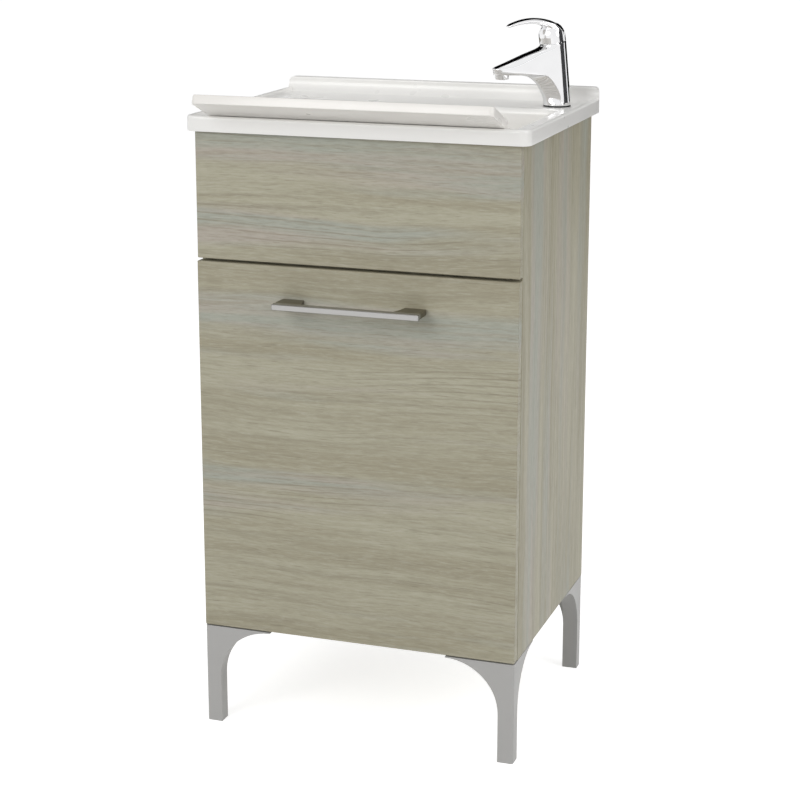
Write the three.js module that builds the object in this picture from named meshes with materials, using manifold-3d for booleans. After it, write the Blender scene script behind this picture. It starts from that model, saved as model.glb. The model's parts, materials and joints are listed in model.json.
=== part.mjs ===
// Utility laundry sink: a moulded sink top with a removable washboard and a lever mixer tap,
// on a melamine cabinet with one hinged door, a bottle trap and four corner legs.
// Millimetres, +Z up. The front looks towards -Y. The origin is on the floor, under the middle.
import * as THREE from "three";
import { mergeVertices } from "three/addons/utils/BufferGeometryUtils.js";
import Module from "manifold-3d";

const wasm = await Module();
wasm.setup();

// ------------------------------------------------------------------ driving sizes
// While the object is built, y = 0 is the door's front face and y grows towards the wall.
const FIT = 0.3; // gap between two pieces that seat on each other
const EASE = 0.6; // eased edge of a melamine board

const CABINET_W = 450;
const CABINET_D = 370; // door face to the back edge of the side panels
const SIDE_H = 709.7;
const BOARD_T = 15;
const LEG_H = 143;

const DOOR_H = 520;
const DOOR_LIFT = 1.5; // door bottom above the carcass bottom
const DOOR_GAP = 2; // buffer gap between the door and the carcass
const FRONT_GAP = 4; // between the door and the fixed panel above it

const LEG_POST_X = 22;
const LEG_POST_Y = 20;
const LEG_REACH = 75; // flange length beyond the post
const LEG_ARCH_H = 72; // height of the flange's quarter arch
const LEG_TIP_T = 1.5; // flange thickness at its tip
const LEG_CORNER_R = 3.5;
const LEG_PLATE_T = 4;

const SINK_W = 474;
const SINK_D = 382;
const SINK_FRONT_OVERHANG = 6; // past the door's face
const SKIRT_H = 20;
const SHELL_T = 5;
const SINK_CORNER_R = 14;
const RIM_EDGE_R = 4;

const BOWL_W = 416; // opening at the rim
const BOWL_L = 252; // opening, front to back
const BOWL_LAND = 25; // flat rim in front of the opening
const BOWL_DEPTH = 180;
const BOWL_T = 4;
const BOWL_LIP_R = 12;
const BOWL_CORNER_R = 24;
const BOWL_DRAFT = 0.03;
const BOWL_FLOOR_R = 32;
const BOWL_FLOOR_FALL = 3;
const LEDGE_W = 16; // shelf in the bowl's back wall that carries the washboard

const UPSTAND_H = 18;
const UPSTAND_T = 12;
const COVE_R = 16;

const DRAIN_Y = 142;
const DRAIN_HOLE_R = 22.5;

const WASHBOARD_W = 408; // the head, over the front rim
const WASHBOARD_T = 14;
const WASHBOARD_REACH = 50; // in front of the sink's skirt
const WASHBOARD_TILT = THREE.MathUtils.degToRad(15.5);
const WASHBOARD_PLAY = 8; // beside the bowl's wall
const WASHBOARD_END_PLAY = 4;
const RIB_PITCH = 16;
const RIB_GROOVE_R = 9;
const RIB_GROOVE_DEPTH = 3;

const TAP_X = 192;
const TAP_Y = 300;
const TAP_SWING = THREE.MathUtils.degToRad(215); // spout direction in plan
const TAP_HOLE_R = 17;
const TAP_TILT = THREE.MathUtils.degToRad(9); // cartridge axis, leaning over the spout
const TAP_BASE_R = 22;
const TAP_HEAD_R = 19.8;
const TAP_HEAD_U = 8.3; // head centre, in front of the base centre
const TAP_HEAD_Z = 89;
const TAP_REACH = 101;
const TAP_SPOUT_Z = 46; // spout underside
const AERATOR_U = 88.5;
const AERATOR_R = 10.3;
const CARTRIDGE_R = 15.7;
const LEVER_SEAM = 1.8; // open joint between the lever's hub and the body

const HANDLE_L = 204;
const HANDLE_BAR_D = 12;
const HANDLE_BAR_H = 8;
const HANDLE_STANDOFF = 28;
const HANDLE_FOOT_L = 38;
const HANDLE_DROP = 47; // bar centre below the door's top edge

const HINGE_CUP_R = 17.2;
const HINGE_CUP_INSET = 21.5; // cup centre from the door's edge
const HINGE_CUP_DEPTH = 11;
const HINGE_EDGE = 80; // hinge centre from the door's top or bottom edge

const PIPE_R = 20;
const PIPE_BORE_R = 18;
const TRAP_R = 30;
const TRAP_OUTLET_Z = 560;

// ------------------------------------------------------------------ levels and planes
const CARCASS_Z0 = LEG_H + FIT;
const CARCASS_Z1 = CARCASS_Z0 + SIDE_H;
const CARCASS_Y0 = BOARD_T + DOOR_GAP;
const SIDE_X = CABINET_W / 2;
const INNER_X = SIDE_X - BOARD_T;
const DOOR_Z0 = CARCASS_Z0 + DOOR_LIFT;
const DOOR_Z1 = DOOR_Z0 + DOOR_H;
const RIM_Z = CARCASS_Z1 + FIT + SHELL_T;
const SINK_Y0 = -SINK_FRONT_OVERHANG;
const SINK_Y1 = SINK_Y0 + SINK_D;
const BOWL_Y0 = SINK_Y0 + BOWL_LAND;
const BOWL_Y1 = BOWL_Y0 + BOWL_L;
const BOWL_FLOOR_Z = RIM_Z - BOWL_DEPTH - BOWL_FLOOR_FALL;
const HANDLE_Z = DOOR_Z1 - HANDLE_DROP;

// The washboard lies on the front lip and on the ledge in the bowl's back wall.
const WASHBOARD_Y0 = SINK_Y0 - WASHBOARD_REACH;
const LIP_Z = RIM_Z - BOWL_LIP_R;
const WASHBOARD_Z0 =
  LIP_Z +
  (BOWL_LIP_R + FIT - (WASHBOARD_Y0 - BOWL_Y0) * Math.sin(WASHBOARD_TILT)) / Math.cos(WASHBOARD_TILT);
const WASHBOARD_Y1 =
  BOWL_Y1 - BOWL_LIP_R - WASHBOARD_END_PLAY - WASHBOARD_T * Math.sin(WASHBOARD_TILT);
const WASHBOARD_L = (WASHBOARD_Y1 - WASHBOARD_Y0) / Math.cos(WASHBOARD_TILT);
const LEDGE_Z = WASHBOARD_Z0 - WASHBOARD_L * Math.sin(WASHBOARD_TILT) - FIT;

// ------------------------------------------------------------------ materials
const finish = (color, roughness, metalness) =>
  new THREE.MeshStandardMaterial({ color, roughness, metalness });
const MELAMINE = [0xa19b87, 0.55, 0];
const WHITE_RESIN = [0xf1f0ec, 0.2, 0];
const SATIN_GREY = [0xaaaaa8, 0.45, 0.6];
const SATIN_METAL = [0xc9c7c6, 0.3, 0.9];
const DARK_METAL = [0x6f6a5c, 0.4, 0.8];
const CHROME = [0xdfe1e3, 0.06, 1];
const ZINC = [0xb9bbbe, 0.35, 0.9];
const BRASS = [0xb89a55, 0.35, 0.9];
const RUBBER = [0x2b2b2c, 0.8, 0];
const WHITE_PLASTIC = [0xe6e6e2, 0.5, 0];
const CLEAR_BUFFER = [0xd9dbd8, 0.4, 0];

// ------------------------------------------------------------------ solids
// A closed mesh as a solid, turned to face out.
function solidOf(geometry) {
  const bare = geometry.clone();
  bare.deleteAttribute("normal");
  bare.deleteAttribute("uv");
  const merged = mergeVertices(bare, 1e-4);
  const corners = merged.index.array;
  const points = merged.attributes.position.array;
  const faces = [];
  let sixVolumes = 0;
  const [a, b, c] = [new THREE.Vector3(), new THREE.Vector3(), new THREE.Vector3()];
  for (let i = 0; i < corners.length; i += 3) {
    const [p, q, r] = corners.slice(i, i + 3);
    if (p === q || q === r || r === p) continue;
    faces.push([p, q, r]);
    a.fromArray(points, 3 * p);
    b.fromArray(points, 3 * q);
    c.fromArray(points, 3 * r);
    sixVolumes += a.dot(b.cross(c));
  }
  const ordered = sixVolumes < 0 ? faces.map(([p, q, r]) => [p, r, q]) : faces;
  const triVerts = new Uint32Array(ordered.flat());
  return new wasm.Manifold(new wasm.Mesh({ numProp: 3, vertProperties: points, triVerts }));
}

function geometryOf(solid) {
  const { numProp, vertProperties, triVerts } = solid.getMesh();
  const points = new Float32Array((vertProperties.length / numProp) * 3);
  for (let i = 0; i < points.length / 3; i += 1) {
    points.set(vertProperties.subarray(i * numProp, i * numProp + 3), i * 3);
  }
  const geometry = new THREE.BufferGeometry();
  geometry.setAttribute("position", new THREE.BufferAttribute(points, 3));
  geometry.setIndex(new THREE.BufferAttribute(triVerts, 1));
  geometry.computeVertexNormals();
  return geometry;
}

const join = (...pieces) => geometryOf(pieces.map(solidOf).reduce((sum, piece) => sum.add(piece)));
const cut = (piece, ...tools) =>
  geometryOf(tools.map(solidOf).reduce((rest, tool) => rest.subtract(tool), solidOf(piece)));
const common = (...pieces) =>
  geometryOf(pieces.map(solidOf).reduce((rest, piece) => rest.intersect(piece)));

// ------------------------------------------------------------------ shapes
// A plane outline swept along one axis, from low to high. Its own axes are the other two.
function sweep(shape, axis, low, high, curveSegments = 8) {
  const geometry = new THREE.ExtrudeGeometry(shape, {
    depth: high - low,
    bevelEnabled: false,
    curveSegments,
  });
  if (axis === "x") return geometry.applyMatrix4(Y_Z_OUTLINE).translate(low, 0, 0);
  if (axis === "y") return geometry.rotateX(Math.PI / 2).translate(0, high, 0);
  return geometry.translate(0, 0, low);
}
const Y_Z_OUTLINE = new THREE.Matrix4().set(0, 0, 1, 0, 1, 0, 0, 0, 0, 1, 0, 0, 0, 0, 0, 1);

function roundedRectangle(x0, x1, y0, y1, radius) {
  const shape = new THREE.Shape();
  shape.moveTo(x0 + radius, y0);
  shape.lineTo(x1 - radius, y0);
  shape.absarc(x1 - radius, y0 + radius, radius, -Math.PI / 2, 0, false);
  shape.lineTo(x1, y1 - radius);
  shape.absarc(x1 - radius, y1 - radius, radius, 0, Math.PI / 2, false);
  shape.lineTo(x0 + radius, y1);
  shape.absarc(x0 + radius, y1 - radius, radius, Math.PI / 2, Math.PI, false);
  shape.lineTo(x0, y0 + radius);
  shape.absarc(x0 + radius, y0 + radius, radius, Math.PI, 1.5 * Math.PI, false);
  return shape;
}

function outline(points) {
  return new THREE.Shape(points.map(([x, y]) => new THREE.Vector2(x, y)));
}

// A box between two corners with every edge eased.
function board([x0, x1], [y0, y1], [z0, z1], ease = EASE) {
  const shape = outline([
    [x0 + 2 * ease, y0 + ease],
    [x1 - 2 * ease, y0 + ease],
    [x1 - ease, y0 + 2 * ease],
    [x1 - ease, y1 - 2 * ease],
    [x1 - 2 * ease, y1 - ease],
    [x0 + 2 * ease, y1 - ease],
    [x0 + ease, y1 - 2 * ease],
    [x0 + ease, y0 + 2 * ease],
  ]);
  return new THREE.ExtrudeGeometry(shape, {
    depth: z1 - z0 - 2 * ease,
    bevelThickness: ease,
    bevelSize: ease,
    bevelSegments: 1,
  }).translate(0, 0, z0 + ease);
}

function block([x0, x1], [y0, y1], [z0, z1]) {
  const geometry = new THREE.BoxGeometry(x1 - x0, y1 - y0, z1 - z0);
  return geometry.translate((x0 + x1) / 2, (y0 + y1) / 2, (z0 + z1) / 2);
}

const ROUND = 20; // facets round a turned piece

// A piece turned round the Z axis from [radius, height] points.
function turned(points, segments = ROUND) {
  const profile = points.map(([radius, height]) => new THREE.Vector2(radius, height));
  return new THREE.LatheGeometry(profile, segments).rotateX(Math.PI / 2);
}

const rod = (radius, z0, z1, segments = ROUND) =>
  turned([[0, z0], [radius, z0], [radius, z1], [0, z1]], segments);

const tube = (outer, inner, z0, z1, segments = ROUND) =>
  turned([[inner, z0], [outer, z0], [outer, z1], [inner, z1], [inner, z0]], segments);

// A skin through rings with equal numbers of points, closed by a flat cap at each end.
function loft(rings) {
  const count = rings[0].length;
  const positions = rings.flat().flatMap((point) => point.toArray());
  const index = [];
  for (let ring = 0; ring + 1 < rings.length; ring += 1) {
    for (let i = 0; i < count; i += 1) {
      const here = ring * count + i;
      const next = ring * count + ((i + 1) % count);
      index.push(here, next, here + count, next, next + count, here + count);
    }
  }
  for (const [ring, flip] of [[0, true], [rings.length - 1, false]]) {
    const middle = new THREE.Vector3();
    rings[ring].forEach((point) => middle.add(point));
    middle.divideScalar(count);
    const hub = positions.length / 3;
    positions.push(...middle.toArray());
    for (let i = 0; i < count; i += 1) {
      const here = ring * count + i;
      const next = ring * count + ((i + 1) % count);
      index.push(hub, flip ? next : here, flip ? here : next);
    }
  }
  const geometry = new THREE.BufferGeometry();
  geometry.setAttribute("position", new THREE.Float32BufferAttribute(positions, 3));
  geometry.setIndex(index);
  return geometry;
}

// A level ring: a rounded rectangle with the same number of points in each corner.
function levelRing(halfX, y0, y1, radius, z, perCorner = 4) {
  const corners = [
    [halfX - radius, y1 - radius, 0],
    [-halfX + radius, y1 - radius, 1],
    [-halfX + radius, y0 + radius, 2],
    [halfX - radius, y0 + radius, 3],
  ];
  return corners.flatMap(([x, y, quarter]) =>
    Array.from({ length: perCorner + 1 }, (_, i) => {
      const angle = (quarter + i / perCorner) * (Math.PI / 2);
      return new THREE.Vector3(x + radius * Math.cos(angle), y + radius * Math.sin(angle), z);
    }),
  );
}

// ------------------------------------------------------------------ scene graph helpers
const sink = new THREE.Group();
const cabinet = new THREE.Group();
const door = new THREE.Group();
const plumbing = new THREE.Group();
const tap = new THREE.Group();
sink.add(cabinet, door, plumbing, tap);

function add(parent, name, geometry, look) {
  const mesh = new THREE.Mesh(geometry, finish(...look));
  mesh.name = name;
  parent.add(mesh);
  return mesh;
}

// ------------------------------------------------------------------ cabinet
const LEG_SCREW_SPOTS = [[34, 30], [LEG_POST_X + 10, 48]]; // from the leg's outer corner
const LEG_SCREW_R = 2;
const LEG_SCREW_L = 14;
const LEG_CORNERS = [
  ["front_left", -1, 0],
  ["front_right", 1, 0],
  ["back_left", -1, 1],
  ["back_right", 1, 1],
];

// Each leg's own axes run inwards from its outer corner, so that the four are mirror images.
function placeLeg(mesh, side, back) {
  mesh.position.set(side * SIDE_X, back ? CABINET_D : 0, 0);
  mesh.scale.set(-side, back ? -1 : 1, 1);
  return mesh;
}

function legOutline(post) {
  const shape = new THREE.Shape();
  const archZ = LEG_H - LEG_TIP_T - LEG_ARCH_H;
  shape.moveTo(0, 0);
  shape.lineTo(post, 0);
  shape.lineTo(post, archZ);
  shape.absellipse(post + LEG_REACH, archZ, LEG_REACH, LEG_ARCH_H, Math.PI, Math.PI / 2, true);
  shape.lineTo(post + LEG_REACH, LEG_H);
  shape.lineTo(0, LEG_H);
  return shape;
}

function leg() {
  const flangeX = sweep(legOutline(LEG_POST_X), "y", 0, LEG_POST_Y, 7);
  const flangeY = sweep(legOutline(LEG_POST_Y), "x", 0, LEG_POST_X, 7);
  const plateEnd = LEG_REACH * 0.7;
  const plate = sweep(
    outline([[1, 1], [LEG_POST_X + plateEnd, 1], [LEG_POST_X + plateEnd, 8], [8, LEG_POST_Y + plateEnd],
      [1, LEG_POST_Y + plateEnd]]),
    "z",
    LEG_H - LEG_PLATE_T,
    LEG_H,
  );
  const size = LEG_REACH + LEG_POST_X + 1;
  const plan = sweep(roundedRectangle(0, 2 * size, 0, 2 * size, LEG_CORNER_R), "z", -1, LEG_H + 1, 3);
  const holes = LEG_SCREW_SPOTS.map(([x, y]) =>
    rod(LEG_SCREW_R + FIT, LEG_H - 2 * LEG_PLATE_T, LEG_H + 1, 8).translate(x, y, 0),
  );
  return cut(common(join(flangeX, flangeY, plate), plan), ...holes);
}

// A pan-head screw with its head's bearing face at height 0 and its shank upwards.
function screw(radius, length, headRadius = 2 * radius) {
  const headHeight = 1.3 * radius;
  return turned(
    [
      [0, -headHeight],
      [0.6 * headRadius, -headHeight],
      [headRadius, -0.4 * headHeight],
      [headRadius, 0],
      [radius, 0],
      [radius, length - radius],
      [0, length],
    ],
    8,
  );
}

function bottomPanel() {
  const panel = board(
    [-INNER_X + FIT, INNER_X - FIT],
    [CARCASS_Y0, CABINET_D],
    [CARCASS_Z0, CARCASS_Z0 + BOARD_T],
  );
  const holes = LEG_CORNERS.flatMap(([, side, back]) =>
    LEG_SCREW_SPOTS.map(([x, y]) => {
      const holeY = back ? CABINET_D - y : y;
      const hole = rod(LEG_SCREW_R + FIT, CARCASS_Z0 - 1, CARCASS_Z0 + BOARD_T - 3, 8);
      return hole.translate(side * (SIDE_X - x), holeY, 0);
    }),
  );
  return cut(panel, ...holes);
}

const RAIL_H = 100;
const FRONT_RAIL_D = 50;
const FRONT_RAIL_TOP = DOOR_Z1 + FRONT_GAP + 3;
const BRACKET_T = 2;
const BRACKET_ARM = 28;
const BRACKET_H = 22;
const BRACKET_Z = (DOOR_Z1 + CARCASS_Z1 - BRACKET_H) / 2;

function addCabinet() {
  const across = [-INNER_X + FIT, INNER_X - FIT];
  const height = [CARCASS_Z0, CARCASS_Z1];
  const depth = [CARCASS_Y0, CABINET_D];
  add(cabinet, "side_panel_left", board([-SIDE_X, -INNER_X], depth, height), MELAMINE);
  add(cabinet, "side_panel_right", board([INNER_X, SIDE_X], depth, height), MELAMINE);
  add(cabinet, "bottom_panel", bottomPanel(), MELAMINE);

  const railY = [CABINET_D - BOARD_T, CABINET_D];
  const floorTop = CARCASS_Z0 + BOARD_T + FIT;
  const upperRail = board(across, railY, [CARCASS_Z1 - RAIL_H, CARCASS_Z1]);
  const lowerRail = board(across, railY, [floorTop, floorTop + RAIL_H]);
  add(cabinet, "back_rail_upper", upperRail, MELAMINE);
  add(cabinet, "back_rail_lower", lowerRail, MELAMINE);
  const frontRail = board(
    across,
    [CARCASS_Y0 + FIT, CARCASS_Y0 + FRONT_RAIL_D],
    [FRONT_RAIL_TOP - BOARD_T, FRONT_RAIL_TOP],
  );
  add(cabinet, "front_rail", frontRail, MELAMINE);
  const upperFront = board(
    [-SIDE_X, SIDE_X],
    [CARCASS_Y0 - FIT - BOARD_T, CARCASS_Y0 - FIT],
    [DOOR_Z1 + FRONT_GAP, CARCASS_Z1],
  );
  add(cabinet, "upper_front_panel", upperFront, MELAMINE);

  for (const [name, side] of [["left", -1], ["right", 1]]) {
    const bracket = sweep(
      outline([
        [0, 0],
        [BRACKET_ARM, 0],
        [BRACKET_ARM, BRACKET_T],
        [BRACKET_T, BRACKET_T],
        [BRACKET_T, BRACKET_ARM],
        [0, BRACKET_ARM],
      ]),
      "z",
      BRACKET_Z,
      BRACKET_Z + BRACKET_H,
    );
    const mesh = add(cabinet, `panel_bracket_${name}`, bracket, ZINC);
    mesh.position.set(side * (INNER_X - FIT), CARCASS_Y0, 0);
    mesh.scale.set(-side, 1, 1);
  }

  for (const [name, side, back] of LEG_CORNERS) {
    placeLeg(add(cabinet, `leg_${name}`, leg(), SATIN_GREY), side, back);
    LEG_SCREW_SPOTS.forEach(([x, y], i) => {
      const shape = screw(LEG_SCREW_R, LEG_SCREW_L).translate(x, y, LEG_H - LEG_PLATE_T - FIT);
      placeLeg(add(cabinet, `leg_screw_${name}_${i + 1}`, shape, ZINC), side, back);
    });
  }
}

// ------------------------------------------------------------------ door
const HANDLE_SCREW_R = 2;
const HANDLE_SCREW_X = HANDLE_L / 2 - HANDLE_FOOT_L / 2;

function doorPanel() {
  const panel = board([-SIDE_X, SIDE_X], [0, BOARD_T], [DOOR_Z0, DOOR_Z1]);
  const tools = HINGES.map(([, z]) => {
    const seat = rod(HINGE_CUP_R + FIT, BOARD_T - HINGE_CUP_DEPTH - FIT, BOARD_T + 1);
    return alongY(seat).translate(HINGE_X, 0, z);
  });
  for (const side of [-1, 1]) {
    const hole = alongY(rod(HANDLE_SCREW_R + FIT, -1, BOARD_T + 1, 12));
    tools.push(hole.translate(side * HANDLE_SCREW_X, 0, HANDLE_Z));
  }
  return cut(panel, ...tools);
}

// Turns a piece's own height into distance from the door's face.
const alongY = (geometry) => geometry.rotateX(-Math.PI / 2);

const HINGE_X = -SIDE_X + HINGE_CUP_INSET;
const HINGES = [
  ["lower", DOOR_Z0 + HINGE_EDGE],
  ["upper", DOOR_Z1 - HINGE_EDGE],
];
const HINGE_WING_T = 1.2;
const HINGE_WING_W = 46; // along the door's edge
const HINGE_WING_D = 22;

// A pressed cup let into the door, with the two wings that screw to the door's back.
function hingeCup() {
  const rimY = BOARD_T + FIT;
  const floorY = BOARD_T - HINGE_CUP_DEPTH;
  const wing = sweep(
    roundedRectangle(-HINGE_WING_D / 2, HINGE_WING_D / 2, -HINGE_WING_W / 2, HINGE_WING_W / 2, 5),
    "z",
    rimY,
    rimY + HINGE_WING_T,
    3,
  );
  const cup = rod(HINGE_CUP_R, floorY, rimY + HINGE_WING_T);
  const hollow = rod(HINGE_CUP_R - 1.4, floorY + 1.2, rimY + 5);
  return alongY(cut(join(cup, wing), hollow));
}

const HINGE_PLATE_T = 2.6;
const HINGE_ARM_T = 9;
const HINGE_ARM_W = 12;
const HINGE_ARM_Y = 86;

// The cranked arm on the side panel; its nose reaches into the mouth of the cup.
function hingeArm() {
  const x0 = -INNER_X + FIT + HINGE_PLATE_T + FIT;
  const x1 = x0 + HINGE_ARM_T;
  const noseY = BOARD_T - 3;
  const shape = outline([
    [x0, HINGE_ARM_Y],
    [x0, 34],
    [x0 + 1, 24],
    [x0 + 1, noseY + 2],
    [x0 + 3, noseY],
    [x1 - 2, noseY],
    [x1, noseY + 3],
    [x1, 30],
    [x1 - 2.5, 42],
    [x1 - 2.5, HINGE_ARM_Y - 4],
    [x1 - 5, HINGE_ARM_Y],
  ]);
  return sweep(shape, "z", -HINGE_ARM_W / 2, HINGE_ARM_W / 2);
}

function hingePlate() {
  const x0 = -INNER_X + FIT;
  const cross = new THREE.Shape();
  cross.moveTo(40, -8);
  cross.lineTo(48, -8);
  cross.absarc(54, -18, 6, Math.PI, 2 * Math.PI, false);
  cross.lineTo(66, -8);
  cross.lineTo(84, -8);
  cross.lineTo(84, 8);
  cross.lineTo(66, 8);
  cross.absarc(54, 18, 6, 0, Math.PI, false);
  cross.lineTo(48, 8);
  cross.lineTo(40, 8);
  return sweep(cross, "x", x0, x0 + HINGE_PLATE_T, 6);
}

function handleBar() {
  const half = HANDLE_L / 2;
  const y1 = -HANDLE_STANDOFF;
  return board(
    [-half, half],
    [y1 - HANDLE_BAR_D, y1],
    [HANDLE_Z - HANDLE_BAR_H / 2, HANDLE_Z + HANDLE_BAR_H / 2],
    0.8,
  );
}

// A foot that swells from the bar's end towards the door.
function handleFoot(side) {
  const outer = HANDLE_L / 2 - 1;
  const inner = outer - HANDLE_FOOT_L;
  const shape = new THREE.Shape();
  shape.moveTo(inner, -HANDLE_STANDOFF + FIT);
  shape.lineTo(outer, -HANDLE_STANDOFF + FIT);
  shape.lineTo(outer, -4);
  shape.absarc(outer - 4 + FIT, -4, 4 - FIT, 0, Math.PI / 2, false);
  shape.lineTo(inner + 8, -FIT);
  shape.quadraticCurveTo(inner + 5, -HANDLE_STANDOFF * 0.7, inner, -HANDLE_STANDOFF + FIT);
  const foot = sweep(shape, "z", HANDLE_Z - HANDLE_BAR_H / 2 + 0.5, HANDLE_Z + HANDLE_BAR_H / 2 - 0.5, 6);
  const hole = alongY(rod(HANDLE_SCREW_R + FIT, -14, 1, 12)).translate(HANDLE_SCREW_X, 0, HANDLE_Z);
  const drilled = cut(foot, hole);
  return side < 0 ? mirrored(drilled) : drilled;
}

const mirrored = (geometry) => geometryOf(solidOf(geometry.clone().scale(-1, 1, 1)));

function addDoor() {
  add(door, "door_panel", doorPanel(), MELAMINE);
  add(door, "handle_bar", handleBar(), SATIN_METAL);
  for (const [name, side] of [["left", -1], ["right", 1]]) {
    add(door, `handle_foot_${name}`, handleFoot(side), DARK_METAL);
    const shape = alongY(screw(HANDLE_SCREW_R, BOARD_T + 10, 4.5).rotateX(Math.PI));
    const mesh = add(door, `handle_screw_${name}`, shape, ZINC);
    mesh.position.set(side * HANDLE_SCREW_X, BOARD_T + FIT, HANDLE_Z);
  }
  const bufferT = DOOR_GAP - 2 * FIT;
  for (const [name, z] of [["lower", DOOR_Z0 + 30], ["upper", DOOR_Z1 - 30]]) {
    const dome = turned([[0, 0], [4, 0], [4, 0.5 * bufferT], [2.4, bufferT], [0, bufferT]], 16);
    const mesh = add(door, `door_buffer_${name}`, alongY(dome), CLEAR_BUFFER);
    mesh.position.set(SIDE_X - BOARD_T / 2, BOARD_T + FIT, z);
  }
  for (const [name, z] of HINGES) {
    const cup = add(door, `hinge_cup_${name}`, hingeCup(), ZINC);
    cup.position.set(HINGE_X, 0, z);
    add(cabinet, `hinge_arm_${name}`, hingeArm(), ZINC).position.z = z;
    add(cabinet, `hinge_plate_${name}`, hingePlate(), ZINC).position.z = z;
  }
}

// ------------------------------------------------------------------ sink top
// One level of the bowl. An inset is measured inwards from the opening, a depth down from the rim.
function bowlRing(inset, depth, shift, skin) {
  const cornerR =
    depth <= BOWL_LIP_R
      ? BOWL_CORNER_R - inset
      : THREE.MathUtils.lerp(BOWL_CORNER_R - BOWL_LIP_R, 42, (depth - BOWL_LIP_R) / BOWL_DEPTH) + skin;
  return levelRing(
    BOWL_W / 2 - inset,
    BOWL_Y0 + inset,
    BOWL_Y1 - inset - shift,
    cornerR,
    RIM_Z - depth,
  );
}

// The bowl as a solid: skin 0 is the inner face, skin BOWL_T the outer one.
function bowlSolid(skin) {
  const rings = [];
  const lip = BOWL_LIP_R - skin;
  const steps = 4;
  if (skin === 0) rings.push(bowlRing(0, -2, 0, 0));
  for (let k = 0; k <= steps; k += 1) {
    const turn = (k / steps) * (Math.PI / 2);
    rings.push(bowlRing(lip * Math.sin(turn), BOWL_LIP_R - lip * Math.cos(turn), 0, skin));
  }
  const wallInset = (depth) => BOWL_LIP_R - skin + BOWL_DRAFT * (depth - BOWL_LIP_R);
  const ledge = RIM_Z - LEDGE_Z + skin;
  rings.push(bowlRing(wallInset(ledge - 1.5), ledge - 1.5, 0, skin));
  rings.push(bowlRing(wallInset(ledge), ledge, 1.5, skin));
  rings.push(bowlRing(wallInset(ledge + 0.4), ledge + 0.4, LEDGE_W - 1.5, skin));
  rings.push(bowlRing(wallInset(ledge + 2), ledge + 2, LEDGE_W, skin));
  const arcDepth = BOWL_DEPTH - BOWL_FLOOR_R;
  const arcR = BOWL_FLOOR_R + skin;
  const arcInset = wallInset(arcDepth);
  for (let k = 0; k <= steps; k += 1) {
    const turn = (k / steps) * (Math.PI / 2);
    const inset = arcInset + arcR * (1 - Math.cos(turn));
    rings.push(bowlRing(inset, arcDepth + arcR * Math.sin(turn), LEDGE_W, skin));
  }
  const drainR = DRAIN_HOLE_R + 14;
  const floorZ = BOWL_FLOOR_Z - skin;
  rings.push(levelRing(drainR, DRAIN_Y - drainR, DRAIN_Y + drainR, drainR, floorZ));
  return loft(rings);
}

function rimSlab() {
  const levels = [[0.8, RIM_Z - SKIRT_H], [0, RIM_Z - SKIRT_H + 0.8]];
  for (let k = 0; k <= 3; k += 1) {
    const turn = (k / 3) * (Math.PI / 2);
    levels.push([RIM_EDGE_R * (1 - Math.cos(turn)), RIM_Z - RIM_EDGE_R * (1 - Math.sin(turn))]);
  }
  return loft(
    levels.map(([inset, z]) =>
      levelRing(SINK_W / 2 - inset, SINK_Y0 + inset, SINK_Y1 - inset, SINK_CORNER_R - inset, z),
    ),
  );
}

// The wall upstand: a coved strip along the back, with rounded top corners at both ends.
function upstand() {
  const top = RIM_Z + UPSTAND_H;
  const foot = RIM_Z - 0.9 * SHELL_T;
  const faceY = SINK_Y1 - UPSTAND_T;
  const nose = 2.5;
  const profile = new THREE.Shape();
  profile.moveTo(faceY - COVE_R, foot);
  profile.lineTo(faceY - COVE_R, RIM_Z);
  profile.absarc(faceY - COVE_R, RIM_Z + COVE_R, COVE_R, -Math.PI / 2, 0, false);
  profile.lineTo(faceY, top - nose);
  profile.absarc(faceY + nose, top - nose, nose, Math.PI, Math.PI / 2, true);
  profile.lineTo(SINK_Y1, top);
  profile.lineTo(SINK_Y1, foot);
  const strip = sweep(profile, "x", -SINK_W / 2, SINK_W / 2, 6);
  const front = roundedRectangle(-SINK_W / 2, SINK_W / 2, foot - 40, top, 9);
  const plan = roundedRectangle(-SINK_W / 2, SINK_W / 2, SINK_Y0, SINK_Y1, SINK_CORNER_R);
  return common(
    strip,
    sweep(front, "y", SINK_Y0, SINK_Y1 + 1, 5),
    sweep(plan, "z", foot - 1, top + 1, 6),
  );
}

function sinkTop() {
  const underside = sweep(
    roundedRectangle(
      -SINK_W / 2 + SHELL_T,
      SINK_W / 2 - SHELL_T,
      SINK_Y0 + SHELL_T,
      SINK_Y1 - SHELL_T,
      SINK_CORNER_R - SHELL_T,
    ),
    "z",
    RIM_Z - SKIRT_H - 1,
    RIM_Z - SHELL_T,
    6,
  );
  const shell = join(cut(rimSlab(), underside), upstand(), bowlSolid(BOWL_T));
  const drain = rod(DRAIN_HOLE_R, BOWL_FLOOR_Z - 20, BOWL_FLOOR_Z + 20).translate(0, DRAIN_Y, 0);
  const tapHole = rod(TAP_HOLE_R, RIM_Z - 20, RIM_Z + 10).translate(TAP_X, TAP_Y, 0);
  return cut(shell, bowlSolid(0), drain, tapHole);
}

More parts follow.
